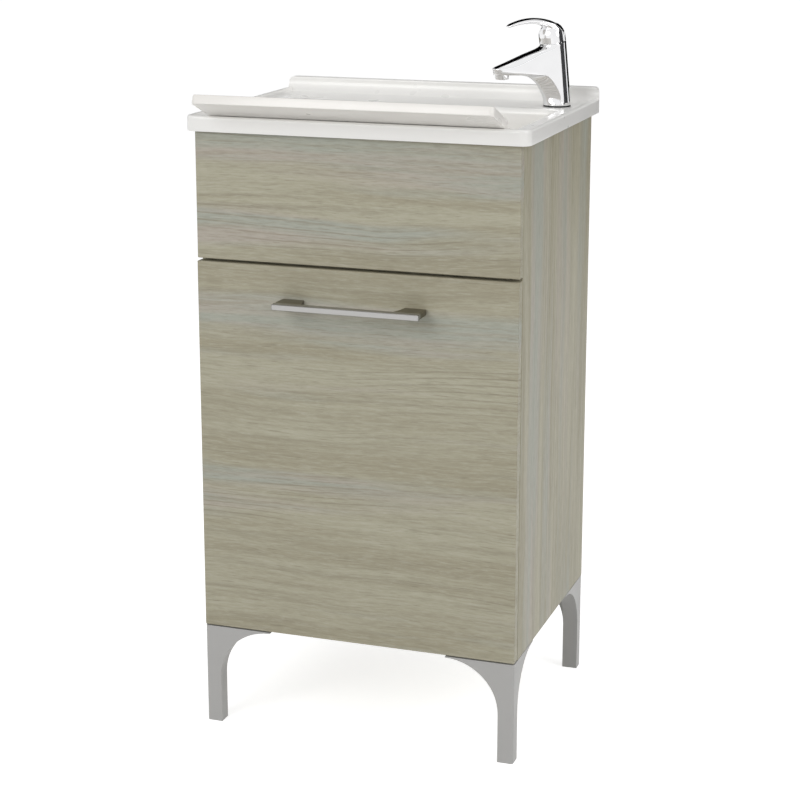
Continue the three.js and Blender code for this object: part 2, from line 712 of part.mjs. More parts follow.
// ------------------------------------------------------------------ washboard
// Its own y runs from the front edge down the board, and its own z is its thickness.
function washboard() {
  const head = WASHBOARD_W / 2;
  const neck = BOWL_W / 2 - BOWL_LIP_R - WASHBOARD_PLAY;
  const shoulder = (BOWL_Y0 - 6 - WASHBOARD_Y0) / Math.cos(WASHBOARD_TILT);
  const frontR = 8;
  const rearR = 18;
  const shape = new THREE.Shape();
  shape.moveTo(-head + frontR, 0);
  shape.lineTo(head - frontR, 0);
  shape.absarc(head - frontR, frontR, frontR, -Math.PI / 2, 0, false);
  shape.lineTo(head, shoulder - 10);
  shape.absarc(head - 10, shoulder - 10, 10, 0, Math.PI / 2, false);
  shape.lineTo(neck, shoulder);
  shape.lineTo(neck, WASHBOARD_L - rearR);
  shape.absarc(neck - rearR, WASHBOARD_L - rearR, rearR, 0, Math.PI / 2, false);
  shape.lineTo(-neck + rearR, WASHBOARD_L);
  shape.absarc(-neck + rearR, WASHBOARD_L - rearR, rearR, Math.PI / 2, Math.PI, false);
  shape.lineTo(-neck, shoulder);
  shape.lineTo(-head + 10, shoulder);
  shape.absarc(-head + 10, shoulder - 10, 10, Math.PI / 2, Math.PI, false);
  shape.lineTo(-head, frontR);
  shape.absarc(-head + frontR, frontR, frontR, Math.PI, 1.5 * Math.PI, false);
  const slab = new THREE.ExtrudeGeometry(shape, {
    depth: WASHBOARD_T - 4,
    bevelThickness: 2,
    bevelSize: 2,
    bevelOffset: -2,
    bevelSegments: 2,
    curveSegments: 5,
  }).translate(0, 0, 2);
  const grooves = [];
  const border = 22;
  const centreZ = WASHBOARD_T + RIB_GROOVE_R - RIB_GROOVE_DEPTH;
  for (let y = shoulder + border; y < WASHBOARD_L - border; y += RIB_PITCH) {
    const groove = rod(RIB_GROOVE_R, -neck + border, neck - border, 14).rotateY(Math.PI / 2);
    grooves.push(groove.translate(0, y, centreZ));
  }
  return cut(slab, ...grooves);
}

function addSinkTop() {
  add(plumbing, "sink_top", sinkTop(), WHITE_RESIN);
  const wash = add(plumbing, "washboard", washboard(), WHITE_RESIN);
  wash.position.set(0, WASHBOARD_Y0, WASHBOARD_Z0);
  wash.rotation.x = -WASHBOARD_TILT;
}

// ------------------------------------------------------------------ waste and trap
const FLANGE_R = 33;
const NECK_R = 21;
const NECK_BORE_R = 18.4;
const NECK_L = 34; // below the bowl's floor
const SEAL_T = 3;
const TRAP_DROP = 45; // the trap's joint with its cup, below the outlet's axis
const TRAP_NECK_TOP = 42; // above the outlet's axis
const TRAP_ARM_L = 26; // outlet arm beyond the trap's body

function hexNut(acrossFlats, bore, z0, z1) {
  const corner = acrossFlats / Math.sqrt(3);
  const shape = new THREE.Shape();
  for (let i = 0; i < 6; i += 1) {
    const angle = (i * Math.PI) / 3;
    shape[i ? "lineTo" : "moveTo"](corner * Math.cos(angle), corner * Math.sin(angle));
  }
  const chamfer = turned(
    [[0, z0], [acrossFlats / 2, z0], [corner, z0 + 2], [corner, z1 - 2], [acrossFlats / 2, z1], [0, z1]],
    12,
  );
  return cut(common(sweep(shape, "z", z0, z1), chamfer), rod(bore, z0 - 1, z1 + 1));
}

// A plastic union nut with grip lobes round it.
function lobedNut(radius, bore, z0, z1, lobes = 6) {
  const body = rod(radius, z0, z1);
  const grips = Array.from({ length: lobes }, (_, i) => {
    const angle = (i * 2 * Math.PI) / lobes;
    const grip = rod(2.2, z0 + 1, z1 - 1, 6);
    return grip.translate((radius + 0.4) * Math.cos(angle), (radius + 0.4) * Math.sin(angle), 0);
  });
  return cut(join(body, ...grips), rod(bore, z0 - 1, z1 + 1));
}

function wasteFlange() {
  const seat = BOWL_FLOOR_Z + FIT;
  const bottom = BOWL_FLOOR_Z - NECK_L;
  const body = turned([
    [0, bottom],
    [NECK_R, bottom],
    [NECK_R, seat],
    [FLANGE_R, seat],
    [FLANGE_R, seat + 1],
    [FLANGE_R - 2, seat + 2.4],
    [FLANGE_R - 9, seat + 2.4],
    [0, seat + 2.4],
  ]);
  const mouth = turned([
    [0, seat - 6],
    [NECK_BORE_R, seat - 6],
    [NECK_BORE_R + 1, seat],
    [NECK_BORE_R + 4.5, seat + 2.4],
    [NECK_BORE_R + 4.5, seat + 4],
    [0, seat + 4],
  ]);
  const bore = rod(NECK_BORE_R, bottom - 1, seat - 9);
  const slots = Array.from({ length: 4 }, (_, i) => {
    const angle = (i * Math.PI) / 2;
    return rod(5, seat - 12, seat, 8).translate(10 * Math.cos(angle), 10 * Math.sin(angle), 0);
  });
  return cut(body, mouth, bore, ...slots);
}

function wastePlug() {
  const seat = BOWL_FLOOR_Z + FIT - 6 + FIT;
  return turned(
    [
      [0, seat],
      [NECK_BORE_R - 1, seat],
      [NECK_BORE_R + 0.4, seat + 7],
      [NECK_BORE_R - 1, seat + 9],
      [5, seat + 9],
      [4, seat + 14],
      [6, seat + 16],
      [6, seat + 18],
      [0, seat + 19.5],
    ],
  );
}

function trapBody() {
  const axisZ = TRAP_OUTLET_Z;
  const shell = turned([
    [0, axisZ - TRAP_DROP],
    [TRAP_R, axisZ - TRAP_DROP],
    [TRAP_R, axisZ + 18],
    [TRAP_R - 4, axisZ + 26],
    [PIPE_R + 3, axisZ + 28],
    [PIPE_R + 3, axisZ + TRAP_NECK_TOP],
    [0, axisZ + TRAP_NECK_TOP],
  ]);
  const arm = alongY(rod(PIPE_R + 3, 0, TRAP_R + TRAP_ARM_L)).translate(0, 0, axisZ);
  const inlet = rod(PIPE_R + FIT, axisZ + 8, axisZ + 50);
  const outlet = alongY(rod(PIPE_R + FIT, TRAP_R - 2, TRAP_R + 40)).translate(0, 0, axisZ);
  return cut(join(shell, arm), inlet, outlet);
}

function trapCup() {
  const top = TRAP_OUTLET_Z - TRAP_DROP - FIT;
  const cup = turned([
    [0, top - 38],
    [TRAP_R - 12, top - 38],
    [TRAP_R - 2, top - 32],
    [TRAP_R + 1.5, top - 20],
    [TRAP_R + 1.5, top],
    [0, top],
  ]);
  const ribs = Array.from({ length: 8 }, (_, i) => {
    const angle = (i * Math.PI) / 4;
    const rib = rod(1.8, top - 18, top - 1, 6);
    return rib.translate((TRAP_R + 1.8) * Math.cos(angle), (TRAP_R + 1.8) * Math.sin(angle), 0);
  });
  return join(cup, ...ribs);
}

function addWaste() {
  const under = BOWL_FLOOR_Z - BOWL_T;
  const waste = new THREE.Group();
  waste.position.set(0, DRAIN_Y, 0);
  plumbing.add(waste);
  add(waste, "waste_flange", wasteFlange(), CHROME);
  add(waste, "waste_plug", wastePlug(), RUBBER);
  const sealTop = under - FIT;
  add(waste, "waste_seal", tube(FLANGE_R, NECK_R + FIT, sealTop - SEAL_T, sealTop), RUBBER);
  const nutTop = sealTop - SEAL_T - FIT;
  add(waste, "waste_nut", lobedNut(FLANGE_R - 2, NECK_R + FIT, nutTop - 13, nutTop), WHITE_PLASTIC);
  const neckEnd = BOWL_FLOOR_Z - NECK_L;
  const pipeTop = neckEnd - FIT;
  const pipeBottom = TRAP_OUTLET_Z + 8 + FIT;
  const tailpiece = turned([
    [PIPE_BORE_R, pipeBottom],
    [PIPE_R, pipeBottom],
    [PIPE_R, pipeTop - 3],
    [NECK_R, pipeTop - 3],
    [NECK_R, pipeTop],
    [PIPE_BORE_R, pipeTop],
    [PIPE_BORE_R, pipeBottom],
  ]);
  add(waste, "tailpiece", tailpiece, WHITE_PLASTIC);
  const unionNut = lobedNut(NECK_R + 6, NECK_R + FIT, neckEnd - 7, neckEnd + 10);
  add(waste, "tailpiece_nut", unionNut, WHITE_PLASTIC);
  add(waste, "trap_body", trapBody(), WHITE_PLASTIC);
  const inletTop = TRAP_OUTLET_Z + TRAP_NECK_TOP + FIT;
  add(waste, "trap_inlet_nut", lobedNut(PIPE_R + 7, PIPE_R + FIT, inletTop, inletTop + 12), WHITE_PLASTIC);
  add(waste, "trap_cup", trapCup(), WHITE_PLASTIC);
  const outletY = TRAP_R + TRAP_ARM_L + FIT;
  const outletNut = alongY(lobedNut(PIPE_R + 7, PIPE_R + FIT, outletY, outletY + 12));
  add(waste, "trap_outlet_nut", outletNut, WHITE_PLASTIC).position.z = TRAP_OUTLET_Z;
  const pipe = alongY(tube(PIPE_R, PIPE_BORE_R, TRAP_R - 2 + FIT, SINK_Y1 - DRAIN_Y));
  add(waste, "outlet_pipe", pipe, WHITE_PLASTIC).position.z = TRAP_OUTLET_Z;
}

// ------------------------------------------------------------------ tap
// The tap's own axes: x along the spout, y across it, z up from the sink's rim.
const TAP_SEAL_T = 1.8;
const TAP_BASE_Z = FIT + TAP_SEAL_T + FIT;

// A level section of the casting: round at the back, with a narrower nose towards the spout.
function noseRing(z, back, front, rearR, noseR, points = 28) {
  const rearX = back + rearR;
  const noseX = front - noseR;
  const span = noseX - rearX;
  const tangent = span > 0.01 ? (rearR - noseR) / span : 0;
  const switchAngle = span > 0.01 ? Math.acos(THREE.MathUtils.clamp(tangent, -1, 1)) : 0;
  return Array.from({ length: points }, (_, i) => {
    const angle = ((i + 0.5) / points) * 2 * Math.PI;
    const fromNose = Math.min(angle, 2 * Math.PI - angle);
    const onNose = fromNose < switchAngle;
    const x = onNose ? noseX : rearX;
    const r = onNose ? noseR : rearR;
    return new THREE.Vector3(x + r * Math.cos(angle), r * Math.sin(angle), z);
  });
}

function spoutFront(z) {
  const rise = (z - (TAP_SPOUT_Z + 7)) / (TAP_HEAD_Z - 5 - (TAP_SPOUT_Z + 7));
  return THREE.MathUtils.lerp(TAP_REACH, TAP_HEAD_U + TAP_HEAD_R + 0.9, THREE.MathUtils.clamp(rise, 0, 1));
}

function tapCasting() {
  const back = (z) => THREE.MathUtils.lerp(-TAP_BASE_R, TAP_HEAD_U - TAP_HEAD_R, z / TAP_HEAD_Z);
  const s = TAP_SPOUT_Z;
  const sections = [
    [TAP_BASE_Z, TAP_BASE_R, TAP_BASE_R, TAP_BASE_R],
    [TAP_BASE_Z + 3, TAP_BASE_R, TAP_BASE_R, TAP_BASE_R],
    [12, 22.8, 21, 19],
    [s - 24, 27, 20.5, 17],
    [s - 16, 31.5, 20.2, 15],
    [s - 10, 36.5, 20, 13.5],
    [s - 5, 44, 20, 12.5],
    [s - 2, 55, 20, 12],
    [s - 0.6, 74, 20, 12],
    [s, TAP_REACH - 2, 20, 11.5],
    [s + 2.5, TAP_REACH, 20, 11.2],
    [s + 7, TAP_REACH, 19.9, 10.5],
    [s + 10, spoutFront(s + 10), 19.8, 10.8],
    [s + 20, spoutFront(s + 20), 19.8, 12.5],
    [s + 30, spoutFront(s + 30), 19.8, 15.5],
    [TAP_HEAD_Z - 5, spoutFront(TAP_HEAD_Z - 5), 19.8, 18.6],
    [TAP_HEAD_Z + 8, TAP_HEAD_U + TAP_HEAD_R + 2.4, 19.8, 19.8],
  ];
  return loft(sections.map(([z, front, rearR, noseR]) => noseRing(z, back(z), front, rearR, noseR)));
}

function tapBody() {
  const reach = 80;
  const seam = inHead(block([-reach, reach], [-reach, reach], [0, reach]));
  const cartridgeBore = inHead(rod(CARTRIDGE_R + FIT, -40, 10));
  const aeratorBore = rod(AERATOR_R + FIT, 0, TAP_SPOUT_Z + 6.5).translate(AERATOR_U, 0, 0);
  const studBore = rod(4 + FIT, 0, 22, 16);
  const inlets = [-1, 1].map((side) => rod(5, 0, 20, 16).translate(-1, 11.5 * side, 0));
  return cut(tapCasting(), seam, cartridgeBore, aeratorBore, studBore, ...inlets);
}

// Moves a piece from the cartridge's own axis into the tap's axes.
const inHead = (geometry) => geometry.rotateY(TAP_TILT).translate(TAP_HEAD_U, 0, TAP_HEAD_Z);

const RING_TOP = 8;

function cartridgeRing() {
  return turned(
    [
      [10, -2],
      [CARTRIDGE_R, -2],
      [CARTRIDGE_R, FIT],
      [17.6, FIT],
      [17.4, 2.5],
      [16, 5],
      [13, 7],
      [10, RING_TOP],
      [10, -2],
    ],
  );
}

function cartridge() {
  const top = -2 - FIT;
  return turned(
    [[0, -39], [CARTRIDGE_R, -39], [CARTRIDGE_R, -14], [14.5, -12], [14.5, top], [0, top]],
  );
}

const STEM_TOP = 15;
const stem = () =>
  turned(
    [[0, -2], [9.4, -2], [9.4, RING_TOP - 1], [7, RING_TOP + 1], [4.5, RING_TOP + 2], [4.5, STEM_TOP],
      [0, STEM_TOP]],
  );

// The lever: a hollow domed hub with an arched blade that tapers to its tip.
const BLADE = [
  // x, height above the head's centre, thickness, width
  [1, 15, 15, 33],
  [13, 25, 14, 33],
  [26, 31.3, 10.5, 29.5],
  [39, 33.8, 8.6, 26],
  [53, 32.4, 7.2, 23],
  [67, 28.4, 5.8, 20],
  [77, 24.3, 4.6, 17],
  [82, 22, 3, 12],
];
const BLADE_POINTS = 16;

function bladeSection([x, z, thickness, width], i) {
  const [fromX, fromZ] = BLADE[Math.max(i - 1, 0)];
  const [toX, toZ] = BLADE[Math.min(i + 1, BLADE.length - 1)];
  const along = new THREE.Vector2(toX - fromX, toZ - fromZ).normalize();
  return Array.from({ length: BLADE_POINTS }, (_, k) => {
    const angle = (k / BLADE_POINTS) * 2 * Math.PI;
    const across = Math.sign(Math.cos(angle)) * Math.abs(Math.cos(angle)) ** 0.75 * (width / 2);
    const up = Math.sign(Math.sin(angle)) * Math.abs(Math.sin(angle)) ** 0.85 * (thickness / 2);
    return new THREE.Vector3(x - up * along.y, across, TAP_HEAD_Z + z + up * along.x);
  });
}

function lever() {
  const r = TAP_HEAD_R;
  const hub = turned([
    [0, LEVER_SEAM],
    [r - 0.8, LEVER_SEAM],
    [r, LEVER_SEAM + 0.8],
    [r, 10],
    [r - 0.4, 15],
    [r - 1.8, 20],
    [r - 4.8, 24.5],
    [r - 9, 27.3],
    [r - 14, 28.6],
    [0, 29],
  ]);
  const hollow = turned([
    [0, 0],
    [r - 1.6, 0],
    [r - 1.6, 11],
    [r - 4, 17],
    [r - 9, STEM_TOP + 6],
    [5, STEM_TOP + 6],
    [5, STEM_TOP + FIT],
    [0, STEM_TOP + FIT],
  ]);
  const plugSeat = rod(3.5 + FIT, 0, 3, 16).rotateY(Math.PI / 2).translate(r - 1.4, 0, 11);
  const outside = join(inHead(hub), loft(BLADE.map(bladeSection)));
  return cut(outside, inHead(hollow), inHead(plugSeat));
}

function leverPlug() {
  const plug = turned([[0, 0], [3.5, 0], [3.5, 1.2], [2.8, 1.8], [0, 1.8]], 16);
  return inHead(plug.rotateY(Math.PI / 2).translate(TAP_HEAD_R - 1.4 + FIT, 0, 11));
}

function aerator() {
  const top = TAP_SPOUT_Z + 6.5 - FIT;
  return turned(
    [
      [0, top - 6],
      [AERATOR_R - 2, top - 8],
      [AERATOR_R - 2, top - 13.5],
      [AERATOR_R - 0.7, top - 13.5],
      [AERATOR_R, top - 12.6],
      [AERATOR_R, top],
      [0, top],
    ],
  );
}

// The horseshoe washer that clamps the tap from under the deck.
function clampWasher() {
  const z1 = -SHELL_T - FIT;
  const disc = rod(17, z1 - 3, z1);
  const slot = block([-30, 0], [-4.5, 4.5], [z1 - 4, z1 + 1]);
  return cut(disc, slot, rod(4.5, z1 - 4, z1 + 1, 16));
}

function addTap() {
  tap.position.set(TAP_X, TAP_Y, RIM_Z);
  tap.rotation.z = TAP_SWING;
  add(tap, "tap_base_seal", tube(TAP_BASE_R - 0.5, 17.2, FIT, FIT + TAP_SEAL_T), RUBBER);
  add(tap, "tap_body", tapBody(), CHROME);
  add(tap, "tap_aerator", aerator().translate(AERATOR_U, 0, 0), CHROME);
  add(tap, "tap_cartridge", inHead(cartridge()), WHITE_PLASTIC);
  add(tap, "tap_cartridge_ring", inHead(cartridgeRing()), CHROME);
  add(tap, "tap_stem", inHead(stem()), ZINC);
  add(tap, "tap_lever", lever(), CHROME);
  add(tap, "tap_lever_plug", leverPlug(), DARK_METAL);
  add(tap, "tap_stud", rod(4, -52, 21, 16), ZINC);
  add(tap, "tap_clamp_washer", clampWasher(), ZINC);
  const nutTop = -SHELL_T - FIT - 3 - FIT;
  add(tap, "tap_clamp_nut", hexNut(13, 4 + FIT, nutTop - 22, nutTop), BRASS);
}

// ------------------------------------------------------------------ the object
addCabinet();
addDoor();
addSinkTop();
addWaste();
addTap();

const extent = new THREE.Box3().setFromObject(sink, true);
sink.position.y = -(extent.min.y + extent.max.y) / 2;

export default sink;
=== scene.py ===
"""Looks, floor, light and camera for a utility laundry sink. Metres, +Z up, front towards -Y."""

import json
import math

import bmesh
import bpy
from mathutils import Matrix, Vector


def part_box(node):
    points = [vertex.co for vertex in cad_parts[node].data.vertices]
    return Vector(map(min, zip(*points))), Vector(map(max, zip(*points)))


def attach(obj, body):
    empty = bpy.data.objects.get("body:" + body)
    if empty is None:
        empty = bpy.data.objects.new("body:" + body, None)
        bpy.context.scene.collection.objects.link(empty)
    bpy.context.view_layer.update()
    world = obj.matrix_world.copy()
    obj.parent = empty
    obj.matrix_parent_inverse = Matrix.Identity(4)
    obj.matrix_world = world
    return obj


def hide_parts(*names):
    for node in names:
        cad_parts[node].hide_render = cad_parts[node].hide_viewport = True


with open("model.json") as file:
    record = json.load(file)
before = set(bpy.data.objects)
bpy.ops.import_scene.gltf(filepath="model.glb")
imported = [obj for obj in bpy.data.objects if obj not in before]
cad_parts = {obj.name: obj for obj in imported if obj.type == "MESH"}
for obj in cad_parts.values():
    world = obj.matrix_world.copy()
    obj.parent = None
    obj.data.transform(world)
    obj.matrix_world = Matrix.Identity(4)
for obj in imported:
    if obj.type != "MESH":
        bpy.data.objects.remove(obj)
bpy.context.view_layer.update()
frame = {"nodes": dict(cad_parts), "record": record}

MM = 0.001
FIT = 0.3 * MM

# ---------------------------------------------------------------- sizes
SHELL_T = 5 * MM
DECK_T = 2 * MM
SKIRT_H = 21 * MM
SKIRT_EDGE = 0.8 * MM
SINK_CORNER_R = 14 * MM
RIM_H = 6 * MM
RIM_W = 7 * MM
RIM_EDGE_R = 4 * MM
RIM_INNER_R = 2.5 * MM
DECK_COVE_R = 5 * MM
TAP_LAND = 105 * MM
BOWL_T = 4 * MM
BOWL_LIP_R = 9 * MM
LIP_STEP = 0.4 * MM
BOWL_CORNER_R = 24 * MM
BOWL_LOW_CORNER_R = 42 * MM
BOWL_DRAFT = 0.02
BOWL_FLOOR_R = 32 * MM
BOWL_FLOOR_FALL = 3 * MM
LEDGE_W = 16 * MM
LEDGE_EDGE_R = 2 * MM
UPSTAND_T = 12 * MM
UPSTAND_NOSE_R = 2.5 * MM
UPSTAND_INSET = 0.05 * MM
UPSTAND_SINK = 1.6 * MM
UPSTAND_BACK_EDGE = 0.6 * MM
UPSTAND_EDGE_R = 1.2 * MM
UPSTAND_END_R = 9 * MM
COVE_R = 16 * MM
DRAIN_HOLE_R = 22.5 * MM
DRAIN_LAND = 14 * MM
FLANGE_MOUTH_R = 22.9 * MM
FLANGE_NECK_R = 18.4 * MM
FLANGE_NECK_OUT_R = 21 * MM
WASHBOARD_T = 12.5 * MM
WASHBOARD_TILT = math.radians(22)
WASHBOARD_PLAY = 2.5 * MM
WASHBOARD_END_PLAY = 4 * MM
WASHBOARD_EDGE_R = 2 * MM
WASHBOARD_FRONT_R = 6 * MM
SHOULDER_R = 8 * MM
SHOULDER_GAP = 4 * MM
RIB_BORDER = 22 * MM
RIB_START = 92 * MM
RIB_PITCH = 16 * MM
RIB_GROOVE_R = 9 * MM
RIB_GROOVE_DEPTH = 3 * MM
TAP_SWING = math.radians(215)
TAP_TILT = math.radians(9)
TAP_BASE_R = 19.5 * MM
TAP_HOLE_R = 15.5 * MM
TAP_HEAD_R = 18.4 * MM
TAP_HEAD_Z = 87.5 * MM
TAP_REACH = 94 * MM
TAP_SPOUT_Z = 45.5 * MM
TAP_FOOT_Z = 2.4 * MM
CASTING_EDGE_R = 0.7 * MM
SPOUT_TIP_T = 10 * MM
SPOUT_TIP_R = 10.8 * MM
SPOUT_ROOT_Z = TAP_HEAD_Z - 4 * MM
AERATOR_U = 81.5 * MM
AERATOR_R = 9.4 * MM
AERATOR_L = 12.3 * MM
AERATOR_TOP = TAP_SPOUT_Z + 6.2 * MM
CARTRIDGE_R = 14.6 * MM
CARTRIDGE_L = 19 * MM
CARTRIDGE_WELL = 20 * MM
LEVER_SEAM = 1.8 * MM
LEVER_WALL = 1.6 * MM
MELT_CELL = 0.5 * MM
MELT_PASSES = 10
PLUG_R = 2.9 * MM
PLUG_H = 8 * MM

# ---------------------------------------------------------------- places, from the frame
SINK_LOW, SINK_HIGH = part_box("sink_top")
SINK_HALF = SINK_HIGH.x

# The deck lies just over the top edges of the panels, and the bowl hangs just inside them.
DECK_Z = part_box("side_panel_right")[1].z + FIT + DECK_T
RIM_Z = DECK_Z + RIM_H
BOWL_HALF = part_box("side_panel_right")[0].x - FIT - LIP_STEP
BOWL_Y0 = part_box("upper_front_panel")[1].y + FIT + LIP_STEP
BOWL_Y1 = SINK_HIGH.y - TAP_LAND
BOWL_FLOOR_Z = SINK_LOW.z + BOWL_T
BOWL_DEPTH = DECK_Z - BOWL_FLOOR_FALL - BOWL_FLOOR_Z
STUD_LOW, STUD_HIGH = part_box("tap_stud")
TAP_X = (STUD_LOW.x + STUD_HIGH.x) / 2
TAP_Y = (STUD_LOW.y + STUD_HIGH.y) / 2
FLANGE_LOW, FLANGE_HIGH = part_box("waste_flange")
DRAIN_Y = (FLANGE_LOW.y + FLANGE_HIGH.y) / 2

# The tap's head is centred on the axis that its lever turns on.
JOINTS = {joint["name"]: joint for joint in frame["record"]["behaviour"]["joints"]}
TURN_AT = Vector(JOINTS["lever_turn"]["pos_m"])
TURN_U = math.hypot(TURN_AT.x - TAP_X, TURN_AT.y - TAP_Y)
TAP_HEAD_U = TURN_U + (DECK_Z + TAP_HEAD_Z - TURN_AT.z) * math.tan(TAP_TILT)

# The washboard lies on the inner edge of the front rim and on the ledge in the bowl's back wall.
WASHBOARD_Y0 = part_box("washboard")[0].y
RIM_EDGE_Y = SINK_LOW.y + RIM_W - RIM_INNER_R
RIM_EDGE_Z = RIM_Z - RIM_INNER_R
WASHBOARD_Z0 = RIM_EDGE_Z + (
    RIM_INNER_R + FIT - (WASHBOARD_Y0 - RIM_EDGE_Y) * math.sin(WASHBOARD_TILT)
) / math.cos(WASHBOARD_TILT)
WASHBOARD_Y1 = BOWL_Y1 - BOWL_LIP_R - WASHBOARD_END_PLAY - WASHBOARD_T * math.sin(WASHBOARD_TILT)
WASHBOARD_L = (WASHBOARD_Y1 - WASHBOARD_Y0) / math.cos(WASHBOARD_TILT)
LEDGE_Z = WASHBOARD_Z0 - WASHBOARD_L * math.sin(WASHBOARD_TILT) - FIT
LEDGE_DEPTH = DECK_Z - LEDGE_Z

IN_TAP = Matrix.Translation((TAP_X, TAP_Y, DECK_Z)) @ Matrix.Rotation(TAP_SWING, 4, "Z")
HEAD_IN_TAP = Matrix.Translation((TAP_HEAD_U, 0, TAP_HEAD_Z)) @ Matrix.Rotation(TAP_TILT, 4, "Y")
IN_HEAD = IN_TAP @ HEAD_IN_TAP
HEAD_AXIS = (IN_HEAD.to_3x3() @ Vector((0, 0, 1))).normalized()
IN_WASHBOARD = Matrix.Translation((0, WASHBOARD_Y0, WASHBOARD_Z0)) @ Matrix.Rotation(
    -WASHBOARD_TILT, 4, "X"
)


# ---------------------------------------------------------------- node materials
def node(tree, kind, inputs=None, **settings):
    """A node whose inputs are given as values or as other nodes' outputs."""
    made = tree.nodes.new(kind)
    for key, value in settings.items():
        setattr(made, key, value)
    for key, value in (inputs or {}).items():
        if isinstance(value, bpy.types.NodeSocket):
            tree.links.new(value, made.inputs[key])
        else:
            made.inputs[key].default_value = value
    return made


def surface(name, **values):
    """A material with one Principled shader, whose even values are set on its own sockets."""
    material = bpy.data.materials.new(name)
    material.use_nodes = True
    shader = material.node_tree.nodes["Principled BSDF"]
    for key, value in values.items():
        shader.inputs[key.replace("_", " ")].default_value = value
    return material, material.node_tree, shader


def rgb(red, green, blue):
    """A linear colour from 0 to 255 screen values."""
    def linear(value):
        value /= 255
        return value / 12.92 if value <= 0.04045 else ((value + 0.055) / 1.055) ** 2.4

    return (linear(red), linear(green), linear(blue), 1)


def darker(colour, share):
    return [channel * share for channel in colour[:3]] + [1]


def noise(tree, vector, scale, detail=4, roughness=0.55):
    """The value of a noise texture at a place."""
    made = node(
        tree,
        "ShaderNodeTexNoise",
        {"Vector": vector, "Scale": scale, "Detail": detail, "Roughness": roughness},
    )
    return made.outputs["Fac"]


def spread(tree, value, low, high, to_low=0, to_high=1):
    """A value moved from one range to another, and held inside it."""
    made = node(
        tree,
        "ShaderNodeMapRange",
        {"Value": value, "From Min": low, "From Max": high, "To Min": to_low, "To Max": to_high},
    )
    return made.outputs["Result"]


def tint(tree, factor, first, second):
    """Mixes two colours, each a value or another node's output."""
    made = node(tree, "ShaderNodeMix", data_type="RGBA")
    for index, value in ((0, factor), (6, first), (7, second)):
        if isinstance(value, bpy.types.NodeSocket):
            tree.links.new(value, made.inputs[index])
        else:
            made.inputs[index].default_value = value
    return made.outputs[2]


def bump(tree, shader, height, strength, distance):
    made = node(
        tree, "ShaderNodeBump", {"Height": height, "Strength": strength, "Distance": distance}
    )
    tree.links.new(made.outputs["Normal"], shader.inputs["Normal"])


def place(tree):
    """The place on the object itself, in metres."""
    return node(tree, "ShaderNodeTexCoord").outputs["Object"]


def calculated(tree, operation, *values):
    """The result of one operation on values or other nodes' outputs."""
    made = node(tree, "ShaderNodeMath", dict(enumerate(values)), operation=operation)
    return made.outputs[0]


def melamine(name, grain, cool):
    """Wood-print melamine. grain is the axis the veins run along, cool the share of grey bands."""
    material, tree, shader = surface(name, Roughness=0.5)
    apart = node(tree, "ShaderNodeSeparateXYZ", {"Vector": place(tree)}).outputs
    along, across = (apart["X"], apart["Z"]) if grain == "X" else (apart["Z"], apart["Y"])
    third = apart["Y"] if grain == "X" else apart["X"]

    def stretched(lengthwise, crosswise, lift=None):
        """A place scaled apart along and across the grain, and lifted across it by a value."""
        level = calculated(tree, "ADD", across, lift) if lift else across
        parts = (
            calculated(tree, "MULTIPLY", along, lengthwise),
            calculated(tree, "MULTIPLY", level, crosswise),
            calculated(tree, "MULTIPLY", third, crosswise),
        )
        made = node(tree, "ShaderNodeCombineXYZ", dict(zip("XYZ", parts)))
        return made.outputs[0]

    sway = spread(tree, noise(tree, stretched(2.2, 5), 1, 2), 0, 1, -0.016, 0.016)
    bands = noise(tree, stretched(0.9, 14, sway), 1, 3, 0.55)
    hue = noise(tree, stretched(1.3, 26, sway), 1.3, 3, 0.6)
    streaks = noise(tree, stretched(3, 130, sway), 1, 5, 0.68)
    fibres = noise(tree, stretched(50, 440, sway), 1, 3, 0.7)
    pores = noise(tree, stretched(30, 700, sway), 1, 2, 0.5)
    arches = calculated(tree, "MULTIPLY", noise(tree, stretched(1.5, 5), 1, 2, 0.4), 70)
    phase = calculated(tree, "ADD", arches, calculated(tree, "MULTIPLY", across, 700))
    contour = calculated(tree, "SINE", phase)
    arch_zone = spread(tree, noise(tree, stretched(1.5, 7, sway), 1.7, 2), 0.5, 0.62)
    arch_lines = calculated(tree, "MULTIPLY", spread(tree, contour, 0.6, 1, 0, 0.5), arch_zone)

    olive = tint(tree, spread(tree, hue, 0.4, 0.6), rgb(157, 151, 129), rgb(172, 168, 147))
    grey = tint(tree, spread(tree, hue, 0.42, 0.58), rgb(161, 163, 151), rgb(171, 163, 151))
    cool_share = spread(tree, bands, 0.56 - cool * 0.12, 0.66 - cool * 0.12)
    base = tint(tree, cool_share, olive, grey)
    veined = tint(tree, spread(tree, streaks, 0.5, 0.7, 0, 0.65), base, rgb(146, 140, 120))
    arched = tint(tree, arch_lines, veined, rgb(128, 121, 101))
    pale = tint(tree, spread(tree, fibres, 0.5, 0.74, 0, 0.42), arched, rgb(190, 187, 172))
    dark = tint(tree, spread(tree, fibres, 0.5, 0.28, 0, 0.38), pale, rgb(134, 128, 111))
    colour = tint(tree, spread(tree, pores, 0.62, 0.7, 0, 0.4), dark, rgb(112, 105, 86))
    tree.links.new(colour, shader.inputs["Base Color"])
    tree.links.new(spread(tree, streaks, 0.3, 0.7, 0.46, 0.58), shader.inputs["Roughness"])
    bump(tree, shader, streaks, 0.12, 0.0004)
    return material


